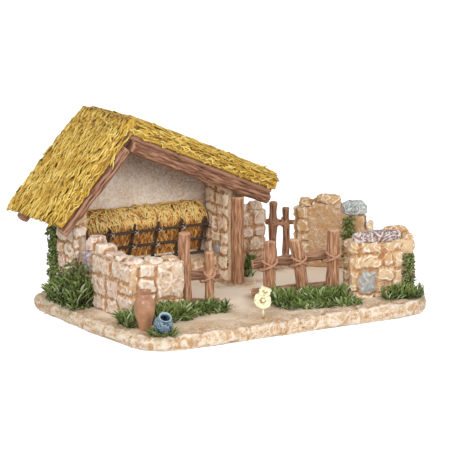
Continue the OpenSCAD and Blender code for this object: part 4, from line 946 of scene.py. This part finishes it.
def thrown(name, profile, place, tilt):
    """A hollow pot turned from a profile of radius and height in mm, set at a place with a tilt."""
    bm = bmesh.new()
    verts = [bm.verts.new((r * mm, 0, z * mm)) for r, z in profile]
    edges = [bm.edges.new(pair) for pair in zip(verts, verts[1:])]
    turned = {"cent": (0, 0, 0), "axis": (0, 0, 1), "angle": math.tau, "steps": 28}
    bmesh.ops.spin(bm, geom=verts + edges, use_merge=True, **turned)
    bmesh.ops.remove_doubles(bm, verts=bm.verts, dist=0.001 * mm)
    bmesh.ops.recalc_face_normals(bm, faces=bm.faces)
    heights = [vert.co.z / mm for vert in bm.verts]
    bmesh.ops.transform(bm, matrix=Matrix.Translation(place) @ tilt, verts=bm.verts)
    vessel = new_piece(name, as_mesh(bm, name))
    vessel.data.shade_smooth()
    store(vessel.data, "height", heights)
    rounding = vessel.modifiers.new("rounding", "SUBSURF")
    rounding.levels = 2
    rounding.render_levels = 2
    return vessel


jar_low, jar_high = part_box("jar")
jar_middle = Vector(((jar_low[0] + jar_high[0]) / 2, (jar_low[1] + jar_high[1]) / 2, jar_low[2]))
jar_profile = ((0, 0), (4.0, 0), (4.6, 0.5), (5.6, 4), (8.0, 11), (9.2, 18), (9.0, 22.5), (7.4, 26.5),
               (5.8, 28.6), (5.1, 30), (5.2, 31.4), (5.8, 32.6), (6.0, 33.5), (5.5, 34), (4.8, 33.2),
               (4.2, 31), (4.2, 29.4), (6.0, 26.5), (7.4, 22), (7.4, 17), (6.0, 9), (3.6, 4), (0, 3))
jar = thrown("terracotta_jar", jar_profile, jar_middle, Matrix.Identity(4))
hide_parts("jar")
clay, tree, points = new_finish("painted_terracotta")
# Satin: orange-brown with darker clouds and faint turning rings
clouds = add(tree, "TexNoise", {"Vector": points, "Scale": 1 / 9, "Detail": 5.0})
wave = {"Vector": points, "Scale": 1 / 9, "Distortion": 2.0, "Detail": 2.0}
rings = add(tree, "TexWave", wave, out="Fac", bands_direction="Z")
cloudy = add(tree, "MapRange", {"Value": clouds, "From Min": 0.35, "From Max": 0.65})
colour = add(tree, "Mix", {"Factor": cloudy, "A": "#99694A", "B": "#BD8C69"}, data_type="RGBA")
seal(tree, colour, 0.32, rings, 0.08)
dress(jar, clay, "terracotta")

pot_r = 8.4 * mm
pot_low, pot_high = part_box("pot")
pot_middle = Vector((pot_low[0] + pot_r, pot_high[1] - pot_r, pot_low[2] + pot_r))
pot_profile = ((0, -8.4), (3.4, -7.7), (6.3, -5.6), (8.0, -2.4), (8.4, 0.4), (7.7, 3.6), (6.1, 5.9),
               (4.9, 7.0), (4.7, 7.7), (5.2, 8.5), (5.6, 9.0), (5.5, 9.5), (4.9, 9.4), (4.0, 8.6),
               (3.7, 7.6), (4.0, 6.4), (5.6, 4.4), (6.8, 0.6), (5.4, -4.2), (0, -6.8))
lying_back = Matrix.Rotation(math.radians(-11), 4, "Z") @ Matrix.Rotation(math.radians(34), 4, "X")
pot = thrown("blue_jug", pot_profile, pot_middle, lying_back)
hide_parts("pot")
glaze, tree, points = new_finish("mottled_blue_glaze")
# Satin glaze: slate blue with pale clouds and thin runs, palest round the lip
clouds = add(tree, "TexNoise", {"Vector": points, "Scale": 1 / 5, "Detail": 5.0, "Distortion": 1.0})
cloudy = add(tree, "MapRange", {"Value": clouds, "From Min": 0.42, "From Max": 0.7, "To Max": 0.8})
runs = brush_marks(tree, points, 5, 0.03)
lip = stored(tree, "height", 8.3, 9.2, most=0.6)
colour = "#34495B"
for mask, coat in ((cloudy, "#869CA9"), (runs, "#BCD0DB"), (lip, "#B4C9D6")):
    colour = add(tree, "Mix", {"Factor": mask, "A": colour, "B": coat}, data_type="RGBA")
seal(tree, colour, 0.4, clouds, 0.1)
dress(pot, glaze, "blue_glaze")

# Flower in front of the right fence: a cream bloom with a tan eye and a smaller one behind it.
# Cast in one with its short stem, six ruffled petals to a bloom, painted cream and tan.


def thin_leaf(widest, bend, cup, ruffle):
    """A thin closed leaf along x from 0 to 1, widest at that share of its length, as a template."""
    bm = bmesh.new()
    bmesh.ops.create_grid(bm, x_segments=5, y_segments=2, size=0.5)
    for vert in bm.verts:
        t = vert.co.x + 0.5
        side = vert.co.y * 2
        broad = math.sin(math.pi * t ** (math.log(0.5) / math.log(widest))) ** 0.7 if 0 < t < 1 else 0.12
        lift = cup * side * side * broad + ruffle * side * math.sin(9 * t) - bend * t * t
        vert.co = (t, side * broad, lift)
    bmesh.ops.solidify(bm, geom=bm.faces[:], thickness=0.05)
    bmesh.ops.recalc_face_normals(bm, faces=bm.faces)
    mesh = as_mesh(bm, "leaf")
    store(mesh, "reach", [v.co.x for v in mesh.vertices])
    mesh.attributes.new("tone", "FLOAT", "POINT")
    return mesh


petals_each = 6
eye_share = 0.24
stem_size = (16 * mm, 1.2 * mm, 1.2 * mm)
flower_low, flower_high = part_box("flower")
flower_middle = Vector(((flower_low[0] + flower_high[0]) / 2, (flower_low[1] + flower_high[1]) / 2, 28 * mm))
bloom_face = Vector((-0.42, -0.85, 0.3)).normalized()
petals = []
eyes = []
small_middle = flower_middle + Vector((3, 2, 6.5)) * mm
small_face = bloom_face + Vector((0.3, 0, 0.7))
for middle, face, reach in ((flower_middle, bloom_face, 8.0), (small_middle, small_face, 5.6)):
    face = face.normalized()
    side = face.cross(Vector((0, 0, 1))).normalized()
    eyes.append((laid(middle + face * mm, side, face, (eye_share * reach * mm,) * 3), 0.5))
    for number in range(petals_each):
        spoke = Matrix.Rotation(math.tau * (number + random.uniform(0.1, 0.5)) / petals_each, 3, face) @ side
        long = reach * random.uniform(0.85, 1.1) * mm
        size = (long, reach * 0.6 * mm, long)
        petals.append((laid(middle + face * number * 0.15 * mm, spoke, face, size), 0.5))
ruffled_petals = [thin_leaf(0.68, -0.12, 0.06, 0.22), thin_leaf(0.7, -0.25, 0.1, -0.25),
                  thin_leaf(0.72, 0.1, 0.1, 0.3)]
bloom = join_copies("cream_blooms", ruffled_petals, petals)

bm = bmesh.new()
bmesh.ops.create_icosphere(bm, subdivisions=2, radius=1.0)
button = as_mesh(bm, "button")
store(button, "reach", [max(0.0, v.co.z) ** 3 for v in button.vertices])
button.attributes.new("tone", "FLOAT", "POINT")
eye_buttons = join_copies("flower_eyes", [button], eyes)

stem_foot = Vector((flower_middle.x, flower_middle.y, flower_low[2]))
stem_place = laid(stem_foot, flower_middle - stem_foot, Vector((0, 1, 0)), stem_size)
stem = join_copies("flower_stem", [stalk(0.3, 0.3, 1.0)], [(stem_place, 0.5)])
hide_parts("flower")
cream, tree, points = new_finish("painted_cream_petal")
# Matte: clouded cream petals, tan towards the eye
clouds = add(tree, "TexNoise", {"Vector": points, "Scale": 1 / 3, "Detail": 4.0})
clouded = add(tree, "Mix", {"Factor": clouds, "A": "#EADFA8", "B": "#FBF6DA"}, data_type="RGBA")
eye = stored(tree, "reach", 0.1, 0.4)
colour = add(tree, "Mix", {"Factor": eye, "A": "#B08A55", "B": clouded}, data_type="RGBA")
seal(tree, colour, 0.7, clouds, 0.3)
for part in (bloom, eye_buttons, stem):
    dress(part, cream, "cream_petals")

# Grass: dense tufts along the feet of the walls and fences, by the stub wall and round the pot.
# Cast in clumps and painted dark green at the root, brighter to the tips with a few whitish glints.
grass, tree, points = new_finish("painted_grass")
# Matte: each blade its own green, dark at its root, and the palest blades nearly white
clouds = add(tree, "TexNoise", {"Vector": points, "Scale": 1 / 2.5, "Detail": 3.0})
green = add(tree, "Mix", {"Factor": stored(tree, "tone"), "A": "#465722", "B": "#90A352"}, data_type="RGBA")
up = stored(tree, "reach", 0.05, 0.7)
shaded = add(tree, "Mix", {"Factor": up, "A": "#2E3A1B", "B": green}, data_type="RGBA")
glint = stored(tree, "tone", 0.8, 1.0, most=0.75)
colour = add(tree, "Mix", {"Factor": glint, "A": shaded, "B": "#CFD8B4"}, data_type="RGBA")
seal(tree, colour, 0.6, clouds, 0.3)

upright = Vector((0, 0, 1))
tuft_blades = 22
fringe_blades, fringe_out = 8, 9
fence_blades, fence_out = 26, 26
stub_blades = 60
pot_blades = 90
bush_tall = 21 * mm
base_top = surface_of(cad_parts["base"].data)
gate_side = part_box("gate_post")[0][0]
fence_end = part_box("fence_lower_rail")[1][0]
stub_low, stub_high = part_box("stub_stones")
stub_foot = Vector(((stub_low[0] + stub_high[0]) / 2 + 4 * mm, stub_low[1] - 2 * mm, stub_low[2]))
pot_foot = Vector((pot_middle.x, pot_middle.y, pot_low[2]))


def grounded(point):
    """Tells whether the level top of the base lies under a point at its foot."""
    return base_top.ray_cast(point + upright * 5 * mm, -upright, 6 * mm)[0] is not None


def any_way():
    """A level direction at random."""
    return Matrix.Rotation(random.uniform(0, math.tau), 3, "Z") @ Vector((1, 0, 0))


def low_blade(rooted, around, lean, long, wide, tone):
    """One blade that leans that much to a side, and its tone."""
    return laid(rooted, around * lean + upright, upright - around, (long, wide, long)), tone


blades = [thin_leaf(0.4, 0.15, 0.05, 0.0), thin_leaf(0.35, 0.3, 0.04, 0.02),
          thin_leaf(0.45, 0.4, 0.05, -0.02)]
bush_tufts = []
for node in grass_nodes:
    copy = merged_copy(node)
    numbers = shell_numbers(copy)
    tuft = []
    for shell in range(max(numbers) + 1):
        cloud = [v.co for v, number in zip(copy.vertices, numbers) if number == shell]
        foot = min(point.z for point in cloud)
        tall = max(point.z for point in cloud) - foot
        middle = sum(cloud, Vector()) / len(cloud)
        middle.z = foot
        if node == "grass_left" and tall > bush_tall:
            bush_tufts.append((middle, tall))
        for blade in range(tuft_blades):
            around = any_way()
            lean = abs(random.gauss(0.1, 0.4))
            along = around * math.sin(lean) + upright * math.cos(lean)
            above = upright * math.sin(lean) - around * math.cos(lean)
            spread = Vector((random.uniform(-4, 4), random.uniform(-5.5, 3.5), 0)) * mm
            long = min(17 * mm, max(9 * mm, tall)) * random.uniform(0.6, 1.1)
            long *= 0.6 if node == "grass_front" and middle.x > gate_side else 1.0
            size = (long, random.uniform(0.8, 1.25) * mm, long)
            rooted = middle + spread + upright * random.uniform(0, max(0, tall - long))
            tone = share(random.gauss(0.5, 0.28))
            tip = rooted + along * long
            if grounded(Vector((tip.x, tip.y, foot))):
                tuft.append((laid(rooted, along, above, size), tone))
        before_fence = node == "grass_right" and middle.x < fence_end
        forward = fence_out if before_fence else fringe_out
        for blade in range(fence_blades if before_fence else fringe_blades):
            around = any_way()
            rooted = middle + Vector((random.uniform(-6, 6), random.uniform(-forward, 4), 0)) * mm
            long = random.uniform(4, 9) * mm
            fringe = low_blade(rooted, around, random.uniform(0.3, 1.3), long, mm, random.uniform(0.1, 0.95))
            if grounded(rooted):
                tuft.append(fringe)
    for blade in range(stub_blades if node == "grass_right" else 0):
        around = any_way()
        lean = random.uniform(0.0, 0.5)
        long = random.uniform(8, 16) * mm
        rooted = stub_foot + Vector((random.uniform(-6, 6), random.uniform(-3, 1), 0)) * mm
        tuft.append(low_blade(rooted, around, lean, long, 1.1 * mm, random.uniform(0.1, 0.9)))
    for blade in range(pot_blades if node == "grass_front" else 0):
        around = any_way()
        rooted = pot_foot + around * random.uniform(6, 10.5) * mm
        lean = random.uniform(0.2, 1.0)
        long = random.uniform(4, 7) * mm
        tuft.append(low_blade(rooted, around, lean, long, 0.9 * mm, random.uniform(0.1, 0.9)))
    tufts = join_copies(node + "_blades", blades, tuft)
    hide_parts(node)
    dress(tufts, grass, "grass")

# Ivy: small leaves that climb the left wall, the tall wall from its foot up and the end of the front right
# wall, and those of the bush at the left corner.
# Cast as low clusters on the stones, painted dark green and brushed lighter towards the leaf tips.
leaves_each = 20
foot_leaves = 110
foot_corner = (131, 37)
bush_leaves = 44
ivy_leaves = [thin_leaf(0.4, 0.2, 0.15, 0.05), thin_leaf(0.45, 0.3, 0.2, -0.05)]
ivy, tree, points = new_finish("painted_ivy_leaf")
# Satin: each leaf its own green, dark where it joins, and a few withered to olive brown
clouds = add(tree, "TexNoise", {"Vector": points, "Scale": 1 / 1.6, "Detail": 3.0})
withered = add(tree, "Math", {0: stored(tree, "tone"), 1: 0.15}, operation="LESS_THAN")
green = add(tree, "Mix", {"Factor": stored(tree, "tone"), "A": "#4A5C26", "B": "#A5B55C"}, data_type="RGBA")
mingled = add(tree, "Mix", {"Factor": withered, "A": green, "B": "#7E7C3A"}, data_type="RGBA")
edge = stored(tree, "reach", 0.1, 0.8)
colour = add(tree, "Mix", {"Factor": edge, "A": "#2C3A1C", "B": mingled}, data_type="RGBA")
seal(tree, colour, 0.55, clouds, 0.3)


def leaf_at(spot):
    """One leaf at a spot, turned at random, and its tone."""
    aim = Vector((random.gauss(0, 1), random.gauss(0, 1), random.gauss(-0.2, 0.7)))
    tilt = Vector((random.gauss(-0.3, 0.6), random.gauss(-0.6, 0.6), random.gauss(0.5, 0.4)))
    size = random.uniform(1.7, 3.2) * mm
    return laid(spot, aim, tilt, (size, size * 0.45, size)), share(random.gauss(0.5, 0.3))


for node in ("ivy_left", "ivy_right"):
    leaves = []
    for middle in [axes[0] for axes in log_axes(merged_copy(node))]:
        for number in range(leaves_each):
            loose = Vector((random.uniform(-1.5, 1.5), random.uniform(-5, 3), random.uniform(-3, 3))) * mm
            leaves.append(leaf_at(middle + loose))
    for number in range(foot_leaves if node == "ivy_right" else 0):
        aside = random.uniform(2, 10)
        spot = Vector((foot_corner[0] + aside, foot_corner[1] - aside, random.uniform(13, 27))) * mm
        leaves.append(leaf_at(spot))
    patch = join_copies(node + "_leaves", ivy_leaves, leaves)
    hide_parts(node)
    dress(patch, ivy, "ivy")

bush = []
for foot, tall in bush_tufts:
    for number in range(bush_leaves):
        loose = Vector((random.uniform(-4, 4), random.uniform(-4, 4), 0)) * mm
        bush.append(leaf_at(foot + loose + upright * random.uniform(0.25, 1.25) * tall))
corner_bush = join_copies("left_corner_bush_leaves", ivy_leaves, bush)
dress(corner_bush, ivy, "ivy")
